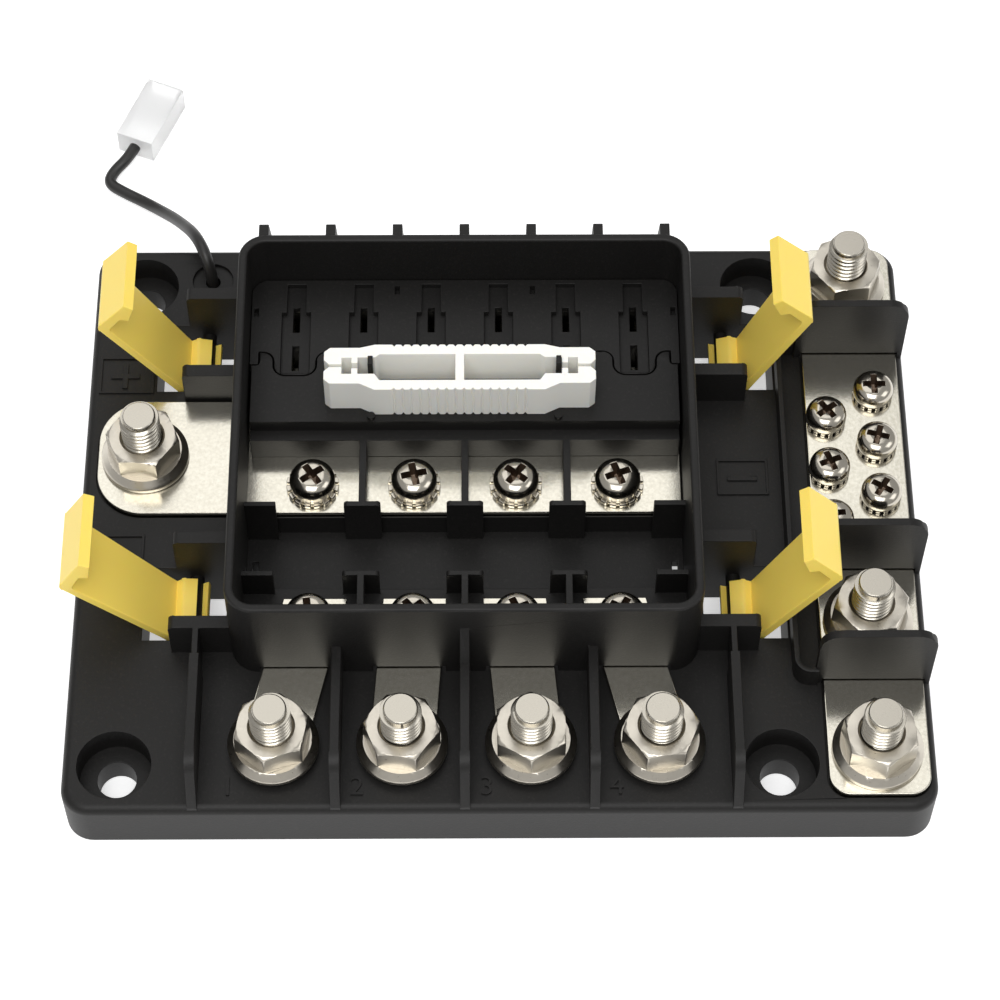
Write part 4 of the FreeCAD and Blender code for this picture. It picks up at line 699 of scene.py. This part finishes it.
for master in (large, small, strip):
    bpy.data.objects.remove(master, do_unlink=True)

# Toothed lock washers
# Hardened steel rings with teeth round the rim, nickel plated like the screws.
for name in ("bus_row_lock_washers", "tab_row_lock_washers", "negative_lock_washers"):
    softened(name, "block", 0.1, nickel)

# Threaded inserts
# Turned brass bushes pressed into the housing under the clamp screws.
brass, tree, output = new_material("turned_brass")
skin = add_node(tree, "ShaderNodeBsdfPrincipled", Base_Color=colour("#B89A5A"), Metallic=1.0,
                Roughness=0.3)
tree.links.new(skin.outputs[0], output.inputs["Surface"])
for name in ("fuse_screw_inserts", "negative_screw_inserts", "output_terminal_inserts"):
    softened(name, "block", 0.1, brass)

# Latches
# Four levers moulded in yellow nylon, clipped over cross pins. The plastic lets some light
# through, so its shaded faces look golden.
flow_lines_per_mm = 1.5
latch_edge = 0.3
yellow_nylon, tree, output = new_material("moulded_yellow_nylon")
place = add_node(tree, "ShaderNodeTexCoord")
flow = add_node(tree, "ShaderNodeTexNoise", Vector=place.outputs["Object"],
                Scale=flow_lines_per_mm / MM, Detail=2.0)
bump = add_node(tree, "ShaderNodeBump", Height=flow.outputs["Fac"], Strength=0.06,
                Distance=0.1 * MM)
skin = add_node(tree, "ShaderNodeBsdfPrincipled", Base_Color=colour("#FFDF68"),
                Roughness=0.4, Normal=bump.outputs["Normal"], Subsurface_Weight=0.3,
                Subsurface_Radius=(0.003, 0.0018, 0.0004))
tree.links.new(skin.outputs[0], output.inputs["Surface"])
latch_bodies = {
    "latch_front_left": "front_left_latch", "latch_rear_left": "rear_left_latch",
    "latch_front_right": "front_right_latch", "latch_rear_right": "rear_right_latch",
}
for name, body in latch_bodies.items():
    softened(name, body, latch_edge, yellow_nylon, plain=False)

# Fuse puller
# Tweezers moulded in natural nylon, held between two posts of the bus cover. Natural nylon
# is cloudy and warm white.
natural_nylon, tree, output = new_material("moulded_natural_nylon")
skin = add_node(tree, "ShaderNodeBsdfPrincipled", Base_Color=colour("#F8F6EF"), Roughness=0.4,
                Subsurface_Weight=0.7, Subsurface_Radius=(0.004, 0.0036, 0.003))
tree.links.new(skin.outputs[0], output.inputs["Surface"])
softened("fuse_puller", "block", 0.18, natural_nylon)

# Lead connector
# A small socket housing of natural nylon with thin walls, which lets the light through. It
# lies on the floor at the lead's end.
clear_nylon, tree, output = new_material("thin_clear_nylon")
skin = add_node(tree, "ShaderNodeBsdfPrincipled", Base_Color=colour("#FFFFFF"), Roughness=0.3,
                Transmission_Weight=0.6, IOR=1.5)
tree.links.new(skin.outputs[0], output.inputs["Surface"])
softened("lead_connector", "block", 0.25, clear_nylon)

# Indicator lead
# A thin round cord in soft black vinyl. It leaves a hole in the deck, drops over the rear
# edge, lies on the floor, folds back and ends in the connector.
lead_radius = 1.25
vinyl, tree, output = new_material("soft_black_vinyl_jacket")
skin = add_node(tree, "ShaderNodeBsdfPrincipled", Base_Color=colour("#1E1D1C"), Roughness=0.45)
tree.links.new(skin.outputs[0], output.inputs["Surface"])
lead_route = [
    (-59.7, 57.5, 8.0), (-59.9, 58.0, 15.9), (-62.7, 64.6, 18.6), (-68.0, 75.5, 9.4),
    (-72.6, 82.7, 3.2), (-76.9, 86.7, 1.25), (-81.1, 89.1, 1.25), (-84.9, 91.6, 1.25),
    (-84.1, 94.4, 1.65), (-80.548, 97.528, 3.1), (-79.017, 101.224, 3.1),
]
lead_line = bpy.data.curves.new("indicator_cord", "CURVE")
lead_line.dimensions = "3D"
lead_line.bevel_depth = lead_radius * MM
lead_line.bevel_resolution = 6
lead_line.use_fill_caps = True
spline = lead_line.splines.new("NURBS")
spline.points.add(len(lead_route) - 1)
for point, spot in zip(spline.points, lead_route):
    point.co = (*(Vector(spot) * MM), 1.0)
spline.order_u = 3
spline.use_endpoint_u = True
spline.resolution_u = 24
lead = bpy.data.objects.new("indicator_cord", lead_line)
bpy.context.scene.collection.objects.link(lead)
lead_line.materials.append(vinyl)
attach(lead, "block")
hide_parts("indicator_lead")
